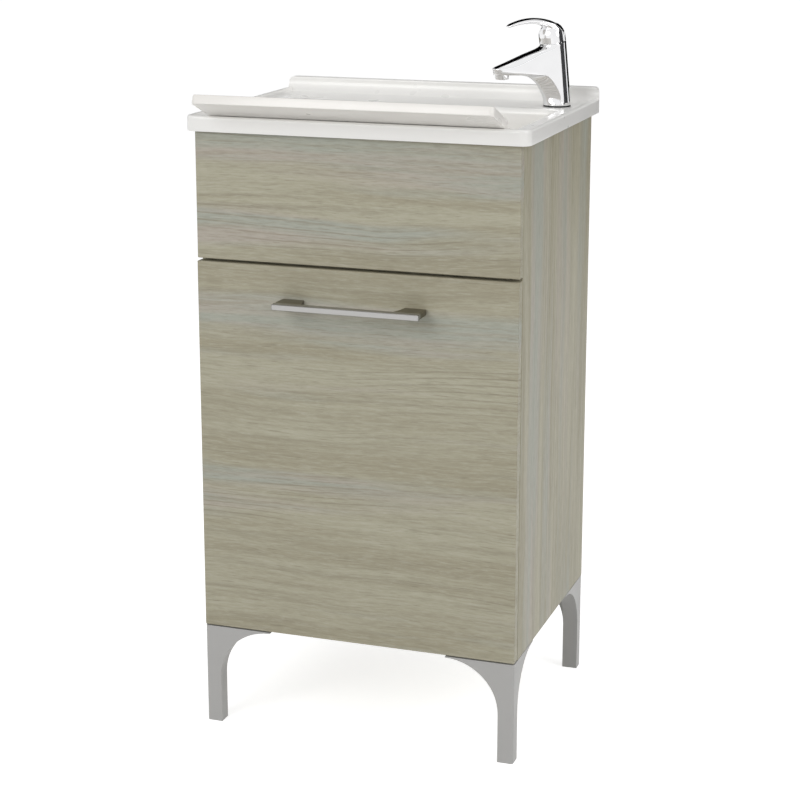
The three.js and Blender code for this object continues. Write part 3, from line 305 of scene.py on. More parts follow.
def moulded(name, colour, roughness, grain=900, depth=0.03):
    """Moulded plastic or resin with a faint orange-peel skin."""
    material, tree, shader = surface(name, Roughness=roughness)
    spot = place(tree)
    fine = noise(tree, spot, grain, 3)
    broad = noise(tree, spot, 9, 3)
    shade = tint(tree, spread(tree, broad, 0.3, 0.7, 0, 0.35), colour, darker(colour, 0.96))
    tree.links.new(shade, shader.inputs["Base Color"])
    low, high = roughness * 0.85, roughness * 1.2
    tree.links.new(spread(tree, broad, 0.3, 0.7, low, high), shader.inputs["Roughness"])
    bump(tree, shader, fine, depth, 0.0002)
    return material


def gloss_resin(name, colour, roughness):
    """Cast resin with a polished skin."""
    material = moulded(name, colour, roughness, 160, 0.004)
    shader = material.node_tree.nodes["Principled BSDF"]
    shader.inputs["Coat Weight"].default_value = 0.25
    shader.inputs["Coat Roughness"].default_value = 0.12
    return material


def metal(name, colour, roughness, smudge, grain=0):
    """Metal with slight unevenness in its polish, and drawn lines along X where grain is set."""
    material, tree, shader = surface(name, Metallic=1.0, Roughness=roughness)
    spot = place(tree)
    wear = noise(tree, spot, 55, 4)
    shade = tint(tree, spread(tree, wear, 0.35, 0.7, 0, 0.5), colour, darker(colour, 0.93))
    tree.links.new(shade, shader.inputs["Base Color"])
    if not grain:
        rough = spread(tree, wear, 0.3, 0.7, roughness, roughness + smudge)
        tree.links.new(rough, shader.inputs["Roughness"])
        bump(tree, shader, noise(tree, spot, 400, 2), 0.01, 0.0001)
        return material
    size = (4, grain, grain)
    drawn = node(tree, "ShaderNodeMapping", {"Vector": spot, "Scale": size}).outputs["Vector"]
    lines = noise(tree, drawn, 1, 3, 0.6)
    rough = spread(tree, lines, 0.3, 0.7, roughness - smudge, roughness + smudge)
    tree.links.new(rough, shader.inputs["Roughness"])
    bump(tree, shader, lines, 0.06, 0.0001)
    return material


MATERIALS = {
    "melamine": melamine("melamine_fronts", "X", 0.45),
    "sink_white": gloss_resin("sink_white", rgb(243, 242, 239), 0.3),
    "washboard_white": gloss_resin("washboard_white", rgb(240, 237, 232), 0.3),
    "leg_grey": moulded("leg_grey", rgb(176, 175, 173), 0.42, 1400, 0.05),
    "handle_satin": metal("handle_satin", rgb(163, 162, 160), 0.34, 0.08, 700),
    # The feet are satin metal like the bar. Their dark olive-brown colour is painted reflection of
    # the wood fronts and painted shade, not the metal's own colour.
    "handle_feet": metal("handle_feet", rgb(124, 118, 101), 0.34, 0.05),
    "chrome": metal("chrome", rgb(240, 240, 241), 0.035, 0.03),
    "zinc": metal("zinc", rgb(190, 192, 194), 0.32, 0.12),
    "brass": metal("brass", rgb(196, 164, 92), 0.28, 0.08),
    "rubber": moulded("rubber", rgb(40, 40, 41), 0.75, 1800, 0.12),
    "white_plastic": moulded("white_plastic", rgb(228, 228, 223), 0.42, 1300, 0.05),
    "clear_buffer": moulded("clear_buffer", rgb(205, 207, 203), 0.35, 900, 0.03),
}
MELAMINE_SIDES = melamine("melamine_sides", "Z", 0.7)
MATERIAL_OF = {entry["node"]: entry["material_slot"] for entry in frame["record"]["subparts"]}


# ---------------------------------------------------------------- meshes
ROUND_ANGLE = 32  # degrees; edges flatter than this look smooth


def lofted(rings, ends):
    """A mesh through rings of equal length, with flat ends or its last ring joined to its first."""
    bm = bmesh.new()
    rows = [[bm.verts.new(point) for point in ring] for ring in rings]
    count = len(rows[0])
    for row, above in zip(rows, rows[1:] if ends else rows[1:] + rows[:1]):
        for i in range(count):
            j = (i + 1) % count
            bm.faces.new((row[i], row[j], above[j], above[i]))
    if ends:
        bm.faces.new(list(reversed(rows[0])))
        bm.faces.new(rows[-1])
    bmesh.ops.recalc_face_normals(bm, faces=bm.faces)
    return finished(bm)


def closed_skin(rings):
    return lofted(rings, True)


def closed_ring_skin(rings):
    return lofted(rings, False)


def circle(radius, z, segments):
    turns = [2 * math.pi * i / segments for i in range(segments)]
    return [(radius * math.cos(turn), radius * math.sin(turn), z) for turn in turns]


def turned_ring(profile, segments=96):
    """A ring turned round Z from a closed outline of (radius, height) points."""
    return closed_ring_skin([circle(radius, height, segments) for radius, height in profile])


def finished(bm):
    mesh = bpy.data.meshes.new("piece")
    bm.to_mesh(mesh)
    bm.free()
    return mesh


def turned(profile, segments=72):
    """A solid turned round Z from (radius, height) points that start and end on the axis."""
    bm = bmesh.new()
    rows = []
    for radius, height in profile:
        if radius == 0:
            rows.append([bm.verts.new((0, 0, height))])
            continue
        rows.append([bm.verts.new(point) for point in circle(radius, height, segments)])
    for row, above in zip(rows, rows[1:]):
        for i in range(segments):
            j = (i + 1) % segments
            corners = [row[i % len(row)], row[j % len(row)]]
            corners += [above[j % len(above)], above[i % len(above)]]
            distinct = list(dict.fromkeys(corners))
            if len(distinct) > 2:
                bm.faces.new(distinct)
    bmesh.ops.recalc_face_normals(bm, faces=bm.faces)
    return finished(bm)


def rod(radius, low, high, segments=72):
    return turned([(0, low), (radius, low), (radius, high), (0, high)], segments)


def prism(outline, low, high):
    """An outline of (x, y) points raised from low to high."""
    return closed_skin([[(x, y, z) for x, y in outline] for z in (low, high)])


def arc(x, y, radius, start, end, steps=10):
    """Points of an arc about (x, y), its angles in degrees."""
    turns = [math.radians(start + (end - start) * i / steps) for i in range(steps + 1)]
    return [(x + radius * math.cos(turn), y + radius * math.sin(turn)) for turn in turns]


def rounded_rectangle(x0, x1, y0, y1, radius, steps=10):
    return (
        arc(x1 - radius, y0 + radius, radius, -90, 0, steps)
        + arc(x1 - radius, y1 - radius, radius, 0, 90, steps)
        + arc(x0 + radius, y1 - radius, radius, 90, 180, steps)
        + arc(x0 + radius, y0 + radius, radius, 180, 270, steps)
    )


def moved(mesh, matrix):
    mesh.transform(matrix)
    return mesh


def loose(mesh, name="piece"):
    made = bpy.data.objects.new(name, mesh)
    bpy.context.scene.collection.objects.link(made)
    return made


def evaluated_mesh(obj):
    bpy.context.view_layer.update()
    graph = bpy.context.evaluated_depsgraph_get()
    return bpy.data.meshes.new_from_object(obj.evaluated_get(graph))


def combine(mesh, other, operation, solver="EXACT"):
    """The union, difference or intersection of two closed meshes."""
    first, second = loose(mesh), loose(other)
    step = first.modifiers.new("combine", "BOOLEAN")
    step.operation, step.object, step.solver = operation, second, solver
    result = evaluated_mesh(first)
    for obj in (first, second):
        bpy.data.objects.remove(obj)
    return result


def cut(mesh, *tools):
    for tool in tools:
        mesh = combine(mesh, tool, "DIFFERENCE")
    return mesh


CUT_GAP = 0.0001 * MM


def sliced(mesh, point, normal):
    """Keeps the side of a plane that its normal points away from, and closes the cut."""
    bm = bmesh.new()
    bm.from_mesh(mesh)
    everything = list(bm.verts) + list(bm.edges) + list(bm.faces)
    made = bmesh.ops.bisect_plane(
        bm, geom=everything, dist=CUT_GAP, plane_co=point, plane_no=normal, clear_outer=True
    )
    rim = [item for item in made["geom_cut"] if isinstance(item, bmesh.types.BMEdge)]
    bmesh.ops.holes_fill(bm, edges=rim)
    bmesh.ops.recalc_face_normals(bm, faces=bm.faces)
    return finished(bm)


def eased(obj, width, segments=3, angle=30):
    """Rounds the edges that are sharper than an angle, with a modifier."""
    step = obj.modifiers.new("ease", "BEVEL")
    step.width, step.segments = width, segments
    step.limit_method, step.angle_limit = "ANGLE", math.radians(angle)
    step.harden_normals = True
    return obj


def piece(name, mesh, body, slot, *nodes, angle=ROUND_ANGLE):
    """A finished piece on a body, standing for the nodes that are named."""
    obj = loose(mesh, name)
    mesh.name = name
    mesh.materials.clear()
    mesh.materials.append(MATERIALS[slot])
    mesh.shade_smooth()
    mesh.set_sharp_from_angle(angle=math.radians(angle))
    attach(obj, body)
    if nodes:
        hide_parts(*nodes)
    return obj


# ---------------------------------------------------------------- solids that keep their shape
WELD_GAP = 0.001 * MM


def dress_nodes():
    """Gives each solid of the frame its material, welded and smooth where it is round."""
    sides = ("side_panel_left", "side_panel_right")
    for entry in frame["record"]["subparts"]:
        obj = frame["nodes"][entry["node"]]
        obj.data.materials.clear()
        material = MELAMINE_SIDES if entry["node"] in sides else MATERIALS[entry["material_slot"]]
        obj.data.materials.append(material)
        if "custom_normal" in obj.data.attributes:
            obj.data.attributes.remove(obj.data.attributes["custom_normal"])
        obj.data.shade_smooth()
        weld = obj.modifiers.new("weld", "WELD")
        weld.merge_threshold = WELD_GAP
        split = obj.modifiers.new("edges", "EDGE_SPLIT")
        split.split_angle = math.radians(ROUND_ANGLE)


# ---------------------------------------------------------------- sink top
CORNER_STEPS = 12


def level_ring(half, y0, y1, radius, z):
    outline = rounded_rectangle(-half, half, y0, y1, radius, CORNER_STEPS)
    return [(x, y, z) for x, y in outline]


def outline_ring(inset, z):
    """A level of the sink's outline, moved inwards."""
    radius = max(SINK_CORNER_R - inset, SINK_CORNER_R - RIM_W)
    return level_ring(SINK_HALF - inset, SINK_LOW.y + inset, SINK_HIGH.y - inset, radius, z)


def wall_inset(depth):
    return BOWL_LIP_R + BOWL_DRAFT * (depth - BOWL_LIP_R)


def wall_corner_r(depth):
    share = (depth - BOWL_LIP_R) / BOWL_DEPTH
    upper = BOWL_CORNER_R - BOWL_LIP_R
    return upper + (BOWL_LOW_CORNER_R - upper) * share


def bowl_ring(inset, depth, shift=0.0, skin=0.0):
    radius = BOWL_CORNER_R - inset if depth <= BOWL_LIP_R else wall_corner_r(depth) + skin
    return level_ring(
        BOWL_HALF - inset, BOWL_Y0 + inset, BOWL_Y1 - inset - shift, radius, DECK_Z - depth
    )


def quarter(steps):
    """Pairs of sine and 1 - cosine through a quarter turn."""
    turns = [k / steps * math.pi / 2 for k in range(steps + 1)]
    return [(math.sin(turn), 1 - math.cos(turn)) for turn in turns]


def bowl_rings(skin):
    """The bowl's face from its opening down to the waste hole: skin 0 is inside, BOWL_T outside."""
    lip = BOWL_LIP_R - skin
    rings = [bowl_ring(-LIP_STEP + 0.1 * MM, skin, 0, skin)]
    rings += [bowl_ring(lip * s, skin + lip * c, 0, skin) for s, c in quarter(12)]
    ledge = LEDGE_DEPTH + skin
    edge = LEDGE_EDGE_R

    def wall(depth, shift=0.0):
        rings.append(bowl_ring(wall_inset(depth) - skin, depth, shift, skin))

    wall(BOWL_LIP_R + 1 * MM)
    wall(ledge - edge - 1 * MM)
    for s, c in quarter(4):
        wall(ledge - edge * (1 - s), edge * c)
    for s, c in quarter(4):
        wall(ledge + edge * c, LEDGE_W - edge * (1 - s))
    arc_depth = BOWL_DEPTH - BOWL_FLOOR_R
    arc_r = BOWL_FLOOR_R + skin
    wall(arc_depth - 1 * MM, LEDGE_W)
    for s, c in quarter(12):
        inset = wall_inset(arc_depth) - skin + arc_r * c
        rings.append(bowl_ring(inset, arc_depth + arc_r * s, LEDGE_W, skin))
    for r in (DRAIN_HOLE_R + DRAIN_LAND, DRAIN_HOLE_R):
        floor_ring = level_ring(r, DRAIN_Y - r, DRAIN_Y + r, r - 0.01 * MM, BOWL_FLOOR_Z - skin)
        rings.append(floor_ring)
    return rings


def sink_shell():
    """The skirt, raised rim, deck, rolled lip, walls with their ledge, and floor."""
    bottom = RIM_Z - SKIRT_H
    outside = [(SKIRT_EDGE, bottom), (0.25 * SKIRT_EDGE, bottom + 0.25 * SKIRT_EDGE)]
    outside += [(0, bottom + SKIRT_EDGE), (0, RIM_Z - RIM_EDGE_R - 1 * MM)]
    outside += [(RIM_EDGE_R * c, RIM_Z - RIM_EDGE_R * (1 - s)) for s, c in quarter(8)]
    inner = [(RIM_W - RIM_INNER_R * (1 - s), RIM_Z - RIM_INNER_R * c) for s, c in quarter(6)]
    foot = [(RIM_W + DECK_COVE_R * c, DECK_Z + DECK_COVE_R * (1 - s)) for s, c in quarter(8)]
    flat = [(RIM_W + DECK_COVE_R + 0.5 * MM, DECK_Z)]
    rings = [outline_ring(inset, z) for inset, z in outside + inner + foot + flat]
    rings += bowl_rings(0)
    rings += reversed(bowl_rings(BOWL_T))
    rings.append(bowl_ring(-LIP_STEP, DECK_T))
    under = DECK_Z - DECK_T
    pocket_r = SINK_CORNER_R - SHELL_T
    for z in (under, bottom + SKIRT_EDGE, bottom):
        inset = SHELL_T - (SKIRT_EDGE if z == bottom else 0)
        y0, y1 = SINK_LOW.y + inset, SINK_HIGH.y - inset
        rings.append(level_ring(SINK_HALF - inset, y0, y1, pocket_r, z))
    mesh = closed_ring_skin(rings)
    hole = rod(TAP_HOLE_R, DECK_Z - 20 * MM, DECK_Z + 5 * MM)
    hole.transform(Matrix.Translation((TAP_X, TAP_Y, 0)))
    mesh = combine(mesh, hole, "DIFFERENCE", "MANIFOLD")
    piece("sink_basin", mesh, "cabinet", "sink_white", "sink_top", angle=50)


def upstand():
    """The coved strip along the wall, cut to the rim's plan and with rounded upper corners."""
    top = SINK_HIGH.z
    face = SINK_HIGH.y - UPSTAND_T
    nose = UPSTAND_NOSE_R
    foot = DECK_Z - UPSTAND_SINK
    profile = [(face - COVE_R, foot), (face - COVE_R, DECK_Z)]
    profile += arc(face - COVE_R, DECK_Z + COVE_R, COVE_R, -90, 0, 16)[1:]
    profile += arc(face + nose, top - nose, nose, 180, 90, 8)
    wall, edge = SINK_HIGH.y, UPSTAND_BACK_EDGE
    profile += [(wall - edge, top), (wall, top - edge), (wall, foot)]
    strip = closed_skin([[(x, y, z) for y, z in profile] for x in (-SINK_HALF, SINK_HALF)])
    half, back = SINK_HALF - UPSTAND_INSET, wall - UPSTAND_INSET
    plan = prism(
        rounded_rectangle(-half, half, SINK_LOW.y, back, SINK_CORNER_R, 16),
        foot - 1 * MM,
        top + 1 * MM,
    )
    front = prism(
        rounded_rectangle(-SINK_HALF, SINK_HALF, foot - 40 * MM, top, UPSTAND_END_R, 16),
        -wall - 1 * MM,
        -SINK_LOW.y,
    )
    front.transform(Matrix.Rotation(math.pi / 2, 4, "X"))
    mesh = combine(combine(strip, plan, "INTERSECT"), front, "INTERSECT")
    obj = piece("sink_upstand", mesh, "cabinet", "sink_white", angle=40)
    eased(obj, UPSTAND_EDGE_R, 3, 45)


def washboard():
    """A slab with a wide head over the rim, a narrower part in the bowl, and grooves across it."""
    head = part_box("washboard")[1].x
    half = BOWL_HALF - wall_inset(LEDGE_DEPTH) - WASHBOARD_PLAY
    shoulder = (BOWL_Y0 - SHOULDER_GAP - WASHBOARD_Y0) / math.cos(WASHBOARD_TILT)
    front_r, rear_r = WASHBOARD_FRONT_R, wall_corner_r(LEDGE_DEPTH)
    outline = arc(head - front_r, front_r, front_r, -90, 0)
    outline += arc(head - SHOULDER_R, shoulder - SHOULDER_R, SHOULDER_R, 0, 80)
    outline += arc(half - rear_r, WASHBOARD_L - rear_r, rear_r, 0, 90)
    outline += arc(-half + rear_r, WASHBOARD_L - rear_r, rear_r, 90, 180)
    outline += arc(-head + SHOULDER_R, shoulder - SHOULDER_R, SHOULDER_R, 100, 180)
    outline += arc(-head + front_r, front_r, front_r, 180, 270)
    blank = eased(loose(prism(outline, 0, WASHBOARD_T), "blank"), WASHBOARD_EDGE_R, 4, 20)
    slab = evaluated_mesh(blank)
    bpy.data.objects.remove(blank)
    centre = WASHBOARD_T + RIB_GROOVE_R - RIB_GROOVE_DEPTH
    y = RIB_START
    while y < WASHBOARD_L - RIB_BORDER:
        groove = rod(RIB_GROOVE_R, -half + RIB_BORDER, half - RIB_BORDER, 96)
        groove.transform(Matrix.Translation((0, y, centre)) @ Matrix.Rotation(math.pi / 2, 4, "Y"))
        slab = cut(slab, groove)
        y += RIB_PITCH
    slab = moved(slab, IN_WASHBOARD)
    piece("washing_board", slab, "washboard", "washboard_white", "washboard", angle=20)


# ---------------------------------------------------------------- waste
STOPPER = [
    # radius, height
    (0, 0), (17.2, 0), (18.6, 6.4), (18.4, 8), (17.2, 9), (7, 9.4), (5, 10.6),
    (4, 13.6), (5.4, 15.6), (6, 17), (5, 18.7), (3, 19.3), (0, 19.5),
]


def waste():
    """The chromed flange with its neck, and the rubber plug with its grip."""
    seat = BOWL_FLOOR_Z + FIT
    at_drain = Matrix.Translation((0, DRAIN_Y, 0))
    outer, mouth, neck, neck_out = FLANGE_HIGH.x, FLANGE_MOUTH_R, FLANGE_NECK_R, FLANGE_NECK_OUT_R
    profile = [(neck, seat - 6 * MM), (neck + 1 * MM, seat), (mouth, seat + 2.2 * MM)]
    profile += [(mouth + 0.8 * MM, seat + 2.4 * MM), (outer - 3 * MM, seat + 2.4 * MM)]
    profile += [(outer - 1 * MM, seat + 1.7 * MM), (outer, seat + 0.8 * MM), (outer, seat)]
    profile += [(neck_out, seat), (neck_out, FLANGE_LOW.z), (neck, FLANGE_LOW.z)]
    ring = moved(turned_ring(profile), at_drain)
    piece("waste_ring", ring, "cabinet", "chrome", "waste_flange", angle=25)

    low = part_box("waste_plug")[0].z
    profile = [(radius * MM, low + height * MM) for radius, height in STOPPER]
    piece("plug", moved(turned(profile), at_drain), "waste_plug", "rubber", "waste_plug", angle=40)


# ---------------------------------------------------------------- tap
def curved(values, t):
    """A value between the middle two of four, on the curve through them all."""
    a, b, c, d = values
    square, cube = 2 * a - 5 * b + 4 * c - d, 3 * b - a - 3 * c + d
    return 0.5 * (2 * b + (c - a) * t + square * t**2 + cube * t**3)


def spline(table, steps):
    """Rows between the rows of a table, on a smooth curve through them."""
    rows = []
    for i in range(len(table) - 1):
        around = [table[min(max(i + k, 0), len(table) - 1)] for k in (-1, 0, 1, 2)]
        for step in range(steps):
            rows.append([curved(values, step / steps) for values in zip(*around)])
    return rows + [list(table[-1])]


def tangent(px, py, x, radius):
    """The direction from (x, 0) to a point, and how far to each side of it a line from that point
    touches the circle about (x, 0)."""
    reach = math.hypot(px - x, py)
    opening = math.acos(min(radius / reach, 1))
    return math.atan2(py, px - x), opening


def between(a, b, steps):
    """Points between two points, without either."""
    shares = [t / steps for t in range(1, steps)]
    return [(a[0] + (b[0] - a[0]) * t, a[1] + (b[1] - a[1]) * t) for t in shares]


def nose_ring(z, back, front, rear_r, nose_r, crease):
    """A level section: round at the back, straight to a crease, then in to a narrower nose."""
    rear_x, nose_x = back + rear_r, front - nose_r
    taper = (SPOUT_TIP_R - rear_r) / (TAP_REACH - SPOUT_TIP_R - rear_x)
    edge_x = min(max(crease, rear_x + 1 * MM), nose_x - 1 * MM)
    edge_y = max(rear_r + taper * (edge_x - rear_x), nose_r + 0.2 * MM)
    toward, opening = tangent(edge_x, edge_y, nose_x, nose_r)
    end = math.degrees(toward - opening)
    nose = arc(nose_x, 0, nose_r, -end, end, 28)
    toward, opening = tangent(edge_x, edge_y, rear_x, rear_r)
    start = math.degrees(toward + opening)
    rear = arc(rear_x, 0, rear_r, start, 360 - start, 36)
    upper, lower = (edge_x, edge_y), (edge_x, -edge_y)
    outline = nose + between(nose[-1], upper, 8) + [upper] + between(upper, rear[0], 6)
    outline += rear + between(rear[-1], lower, 6) + [lower] + between(lower, nose[0], 8)
    return [(x, y, z) for x, y in outline]


def spout_front(z):
    """The spout's back falls in a straight line from the head to the tip."""
    tip = TAP_SPOUT_Z + SPOUT_TIP_T
    rise = min(max((z - tip) / (SPOUT_ROOT_Z - tip), 0), 1)
    return TAP_REACH + (TAP_HEAD_U + TAP_HEAD_R + 0.9 * MM - TAP_REACH) * rise


def tap_casting():
    """The body: a leaning column whose front swells into the spout over a hollow underside."""
    s, h, r, foot_r = TAP_SPOUT_Z / MM, TAP_HEAD_Z / MM, TAP_HEAD_R / MM, TAP_BASE_R / MM
    reach, tip_r = TAP_REACH / MM, SPOUT_TIP_R / MM

    def spout(z, nose, crease):
        return (z, spout_front(z * MM) / MM, r, nose, crease)

    table = [
        # z, front, radius of the back, radius of the nose, crease along the side
        (TAP_FOOT_Z / MM, foot_r, foot_r, foot_r, 0),
        (TAP_FOOT_Z / MM + 3, foot_r, foot_r, foot_r, 0),
        (12, 20.8, r + 0.6, 13, 1),
        (s - 23.5, 25.2, r + 0.4, 8.5, 4),
        (s - 15.5, 30, r + 0.3, 6.5, 8),
        (s - 9.5, 35.5, r + 0.2, 5.6, 12),
        (s - 4.5, 42.5, r + 0.1, 5, 16.5),
        (s - 1.8, 50.5, r, 4.8, 20),
        (s - 0.5, 64, r, 4.8, 23),
        (s, reach - 3, r, 8, 27),
        (s + 2, reach - 0.4, r, 10, 33),
        (s + 6, reach, r, tip_r, 50),
        spout(s + 10, tip_r, 56),
        spout(s + 18, 12, 50),
        spout(s + 27, 14.2, 36),
        spout(SPOUT_ROOT_Z / MM, 17.4, 16),
        (h + 8, (TAP_HEAD_U + TAP_HEAD_R) / MM + 2.2, r, r, 12),
    ]
    rings = []
    for z, front, rear_r, nose_r, crease in spline(table, 6):
        back = -foot_r + ((TAP_HEAD_U - TAP_HEAD_R) / MM + foot_r) * z / h
        sizes = [value * MM for value in (z, back, front, rear_r, nose_r, crease)]
        rings.append(nose_ring(*sizes))
    mesh = closed_skin(rings)
    mesh.transform(IN_TAP)
    mesh = sliced(mesh, IN_HEAD.translation, HEAD_AXIS)
    bore = rod(AERATOR_R + FIT, 0, AERATOR_TOP + FIT)
    bore.transform(IN_TAP @ Matrix.Translation((AERATOR_U, 0, 0)))
    well = rod(CARTRIDGE_R + FIT, -CARTRIDGE_WELL, 10 * MM)
    well.transform(IN_HEAD)
    mesh = cut(mesh, bore, well)
    obj = piece("tap_casting", mesh, "cabinet", "chrome", "tap_body", angle=38)
    eased(obj, CASTING_EDGE_R, 3, 42)


def tap_seal():
    """The rubber ring between the casting and the deck."""
    low, high = FIT, TAP_FOOT_Z - FIT
    inner, outer = TAP_HOLE_R + 1 * MM, TAP_BASE_R - 0.4 * MM
    ring = turned_ring([(inner, low), (outer, low), (outer, high), (inner, high)])
    piece("base_seal", moved(ring, IN_TAP), "cabinet", "rubber", "tap_base_seal")


def tap_aerator():
    """The aerator, its mouth hollow below."""
    top, r = AERATOR_TOP, AERATOR_R
    foot = top - AERATOR_L
    profile = [(0, top - 6 * MM), (r - 2 * MM, top - 8 * MM), (r - 2 * MM, foot + 0.2 * MM)]
    profile += [(r - 1.7 * MM, foot), (r - 1 * MM, foot)]
    profile += [(r - 0.3 * MM, foot + 0.3 * MM), (r, foot + 1 * MM), (r, top), (0, top)]
    ring = moved(turned(profile), IN_TAP @ Matrix.Translation((AERATOR_U, 0, 0)))
    piece("aerator_ring", ring, "cabinet", "chrome", "tap_aerator", angle=28)


def cartridge_ring():
    """The cartridge in the head, and the domed nut over it inside the lever."""
    core = moved(rod(CARTRIDGE_R, -CARTRIDGE_L, -2.4 * MM), IN_HEAD)
    piece("cartridge", core, "cabinet", "white_plastic", "tap_cartridge")
    r, bore = CARTRIDGE_R, CARTRIDGE_R - 4.3 * MM
    out = r - 0.8 * MM
    profile = [(bore, -2 * MM), (r, -2 * MM), (r, FIT), (out, FIT), (out, 1.5 * MM)]
    profile += [(out - 0.4 * MM, 2.7 * MM), (out - 1.2 * MM, 4.2 * MM), (out - 2.4 * MM, 5.5 * MM)]
    profile += [(out - 4 * MM, 6.6 * MM), (bore + 1 * MM, 7.6 * MM), (bore, 7.9 * MM)]
    mesh = moved(turned_ring(profile), IN_HEAD)
    piece("cartridge_nut", mesh, "cabinet", "chrome", "tap_cartridge_ring", angle=30)


BLADE_SIDES = 64
BLADE = [
    # x, height over the head's centre, thickness, width
    (2, 15.5, 15, 30),
    (12, 24, 13.5, 31),
    (24, 29.2, 10, 28.5),
    (36, 31.2, 8, 25.5),
    (48, 30.8, 6.8, 22.5),
    (60, 28.6, 5.8, 19.5),
    (70, 25.6, 4.6, 16),
    (74.5, 23.4, 3, 11),
]


def blade():
    """The lever's arched blade, in the tap's axes."""
    rows = spline(BLADE, 6)
    rings = []
    for i, (x, z, thickness, width) in enumerate(rows):
        before, after = rows[max(i - 1, 0)], rows[min(i + 1, len(rows) - 1)]
        along = Vector((after[0] - before[0], after[1] - before[1])).normalized()
        ring = []
        for k in range(BLADE_SIDES):
            angle = k / BLADE_SIDES * 2 * math.pi
            c, s = math.cos(angle), math.sin(angle)
            across = math.copysign(abs(c) ** 0.75, c) * width / 2
            up = math.copysign(abs(s) ** 0.85, s) * thickness / 2
            height = (z + up * along.x) * MM + TAP_HEAD_Z
            ring.append(((x - up * along.y) * MM, across * MM, height))
        rings.append(ring)
    return closed_skin(rings)


def tap_lever():
    """The lever: a domed hub and an arched blade, melted together as one casting."""
    r = TAP_HEAD_R / MM
    dome = [(0, -3), (r, -3), (r, 10), (r - 0.4, 15), (r - 1.6, 18), (r - 4, 22.3)]
    dome += [(r - 7.4, 25.7), (r - 12.5, 28.3), (0, 29.4)]
    hub = turned([(x * MM, z * MM) for x, z in dome], 96)
    hub.transform(HEAD_IN_TAP)
    melted = loose(combine(hub, blade(), "UNION"))
    step = melted.modifiers.new("remesh", "REMESH")
    step.mode, step.voxel_size = "VOXEL", MELT_CELL
    calm = melted.modifiers.new("calm", "SMOOTH")
    calm.factor, calm.iterations = 0.5, MELT_PASSES
    mesh = evaluated_mesh(melted)
    bpy.data.objects.remove(melted)
    mesh.transform(IN_TAP)
    mesh = sliced(mesh, IN_HEAD.translation + LEVER_SEAM * HEAD_AXIS, -HEAD_AXIS)
    wall = r - LEVER_WALL / MM
    hollow = [(0, 0), (wall, 0), (wall, 11), (r - 4, 17), (r - 8.4, 21), (0, 21)]
    inside = turned([(x * MM, z * MM) for x, z in hollow], 96)
    inside.transform(IN_HEAD)
    socket = rod(PLUG_R + 0.1 * MM, 0, (r + 1) * MM)
    at_front = IN_HEAD @ Matrix.Translation((0, 0, PLUG_H)) @ Matrix.Rotation(math.pi / 2, 4, "Y")
    socket.transform(at_front)
    mesh = cut(mesh, inside, socket)
    piece("lever", mesh, "tap_lever", "chrome", "tap_lever", angle=40)
    face = (r - 0.1) * MM
    profile = [(0, face - 1.2 * MM), (PLUG_R, face - 1.2 * MM), (PLUG_R, face - 0.2 * MM)]
    profile += [(PLUG_R - 0.4 * MM, face), (0, face + 0.1 * MM)]
    plug = moved(turned(profile), at_front)
    piece("lever_plug", plug, "tap_lever", MATERIAL_OF["tap_lever_plug"], "tap_lever_plug")


# ---------------------------------------------------------------- floor, light and camera
CAMERA_AT = Vector((0.8977, -2.5696, 1.1910))
CAMERA_AZIMUTH = math.radians(19.088)
CAMERA_ELEVATION = math.radians(13.413)
FOCAL_PIXELS = 2001
SHIFT_PIXELS = -64
PHOTO_PIXELS = 800
SENSOR_W = 36
FLOOR_HALF = 60
FLOOR_T = 0.02
FLOOR_GLOW = 0.64
WORLD_LIGHT = 0.42


def add_camera():
    """The camera at the photograph's viewing angle."""
    lens = bpy.data.cameras.new("camera")
    lens.sensor_width = SENSOR_W
    lens.lens = FOCAL_PIXELS / PHOTO_PIXELS * lens.sensor_width
    lens.shift_y = SHIFT_PIXELS / PHOTO_PIXELS
    camera = bpy.data.objects.new("camera", lens)
    bpy.context.scene.collection.objects.link(camera)
    back = Vector(
        (
            math.sin(CAMERA_AZIMUTH) * math.cos(CAMERA_ELEVATION),
            -math.cos(CAMERA_AZIMUTH) * math.cos(CAMERA_ELEVATION),
            math.sin(CAMERA_ELEVATION),
        )
    )
    camera.location = CAMERA_AT
    camera.rotation_mode = "QUATERNION"
    camera.rotation_quaternion = (-back).to_track_quat("-Z", "Y")
    bpy.context.scene.camera = camera


def seen_directly(tree):
    """1 for rays from the camera, from gloss and through clear bodies, 0 for light on a surface."""
    path = node(tree, "ShaderNodeLightPath").outputs
    shown = path["Is Camera Ray"]
    for name in ("Is Glossy Ray", "Is Transmission Ray"):
        shown = calculated(tree, "MAXIMUM", shown, path[name])
    return shown


def add_floor():
    """A pale floor that keeps the shadow and shows white where nothing shades it."""
    far = FLOOR_HALF
    mesh = prism([(-far, -far), (far, -far), (far, far), (-far, far)], -FLOOR_T, 0)
    floor = loose(mesh, "floor")
    material, tree, shader = surface("floor", Roughness=0.9)
    shader.inputs["Base Color"].default_value = rgb(240, 240, 240)
    shader.inputs["Specular IOR Level"].default_value = 0.1
    strength = spread(tree, seen_directly(tree), 0, 1, 0, FLOOR_GLOW)
    glow = node(tree, "ShaderNodeEmission", {"Color": (1, 1, 1, 1), "Strength": strength})
    both = node(tree, "ShaderNodeAddShader", {0: shader.outputs[0], 1: glow.outputs[0]})
    tree.links.new(both.outputs[0], tree.nodes["Material Output"].inputs["Surface"])
    mesh.materials.append(material)


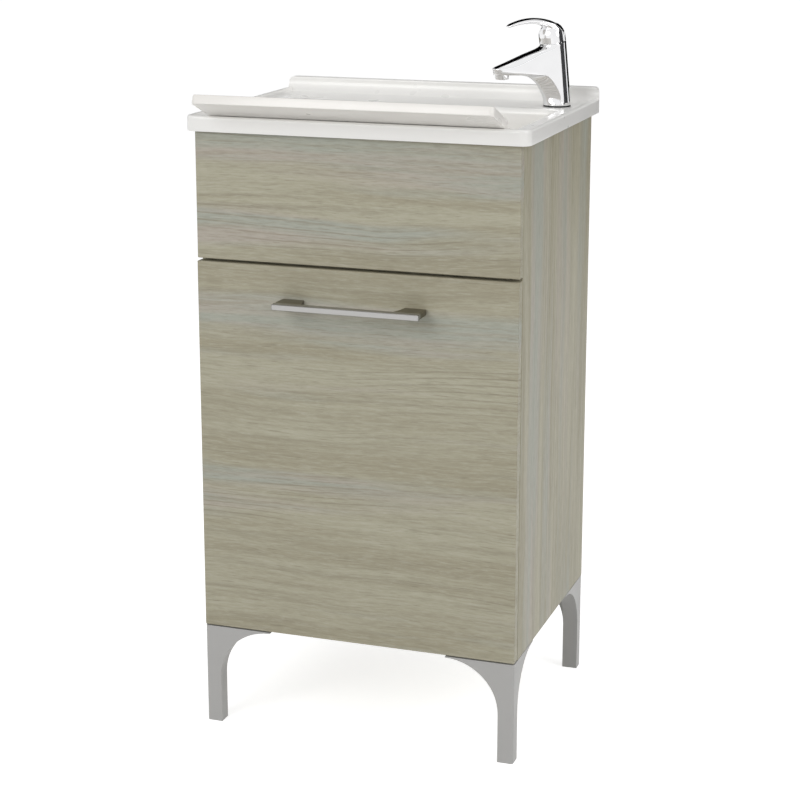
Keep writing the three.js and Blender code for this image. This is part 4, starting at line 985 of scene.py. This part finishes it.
def add_world():
    """White surroundings, dimmer as a light than they look."""
    world = bpy.data.worlds.new("world")
    bpy.context.scene.world = world
    world.use_nodes = True
    tree = world.node_tree
    strength = spread(tree, seen_directly(tree), 0, 1, WORLD_LIGHT, 1)
    tree.links.new(strength, tree.nodes["Background"].inputs["Strength"])
    tree.nodes["Background"].inputs["Color"].default_value = (1, 1, 1, 1)


def add_panel(name, at, aim, size, power):
    """A soft square light at a place, turned to a point."""
    light = bpy.data.lights.new(name, "AREA")
    light.shape, light.size, light.energy = "SQUARE", size, power
    lamp = bpy.data.objects.new(name, light)
    bpy.context.scene.collection.objects.link(lamp)
    lamp.location = at
    direction = Vector(aim) - Vector(at)
    lamp.rotation_mode = "QUATERNION"
    lamp.rotation_quaternion = direction.to_track_quat("-Z", "Y")


def add_card(name, low, high, shade):
    """A matt card from corner to corner that only gloss and metal show, as in a photo studio."""
    outline = [(low[0], low[1]), (high[0], low[1]), (high[0], high[1]), (low[0], high[1])]
    card = loose(prism(outline, low[2], high[2]), name)
    material, _, shader = surface(name, Roughness=1.0)
    shader.inputs["Base Color"].default_value = shade
    shader.inputs["Specular IOR Level"].default_value = 0.0
    card.data.materials.append(material)
    card.visible_camera = card.visible_diffuse = False
    card.visible_shadow = card.visible_transmission = False


# ---------------------------------------------------------------- the scene
dress_nodes()
sink_shell()
upstand()
washboard()
waste()
tap_seal()
tap_casting()
tap_aerator()
cartridge_ring()
tap_lever()

bpy.context.scene.view_settings.view_transform = "Standard"
add_camera()
add_floor()
add_world()
add_panel("light_front", (-1.2, -3.0, 2.2), (0, 0, 0.5), 2.0, 46)
add_panel("light_right", (2.6, -0.6, 1.9), (0, 0, 0.5), 1.6, 24)
add_panel("light_top", (0.2, 0.3, 3.0), (0, 0, 0.8), 1.6, 8)

BLACK, GREY = rgb(8, 8, 9), rgb(84, 84, 86)
add_card("card_low", (-2.6, 2.2, 0.3), (2.2, 2.22, 0.95), BLACK)
add_card("card_back", (-2.6, 2.2, 1.4), (2.2, 2.22, 3.2), BLACK)
add_card("card_over", (-2.6, -0.6, 3.2), (1.8, 2.2, 3.22), BLACK)
add_card("card_side", (-0.6, 2.2, 1.17), (2.2, 2.22, 1.4), BLACK)
add_card("card_right", (2.4, -0.35, 0.4), (2.42, 1.5, 2.6), GREY)
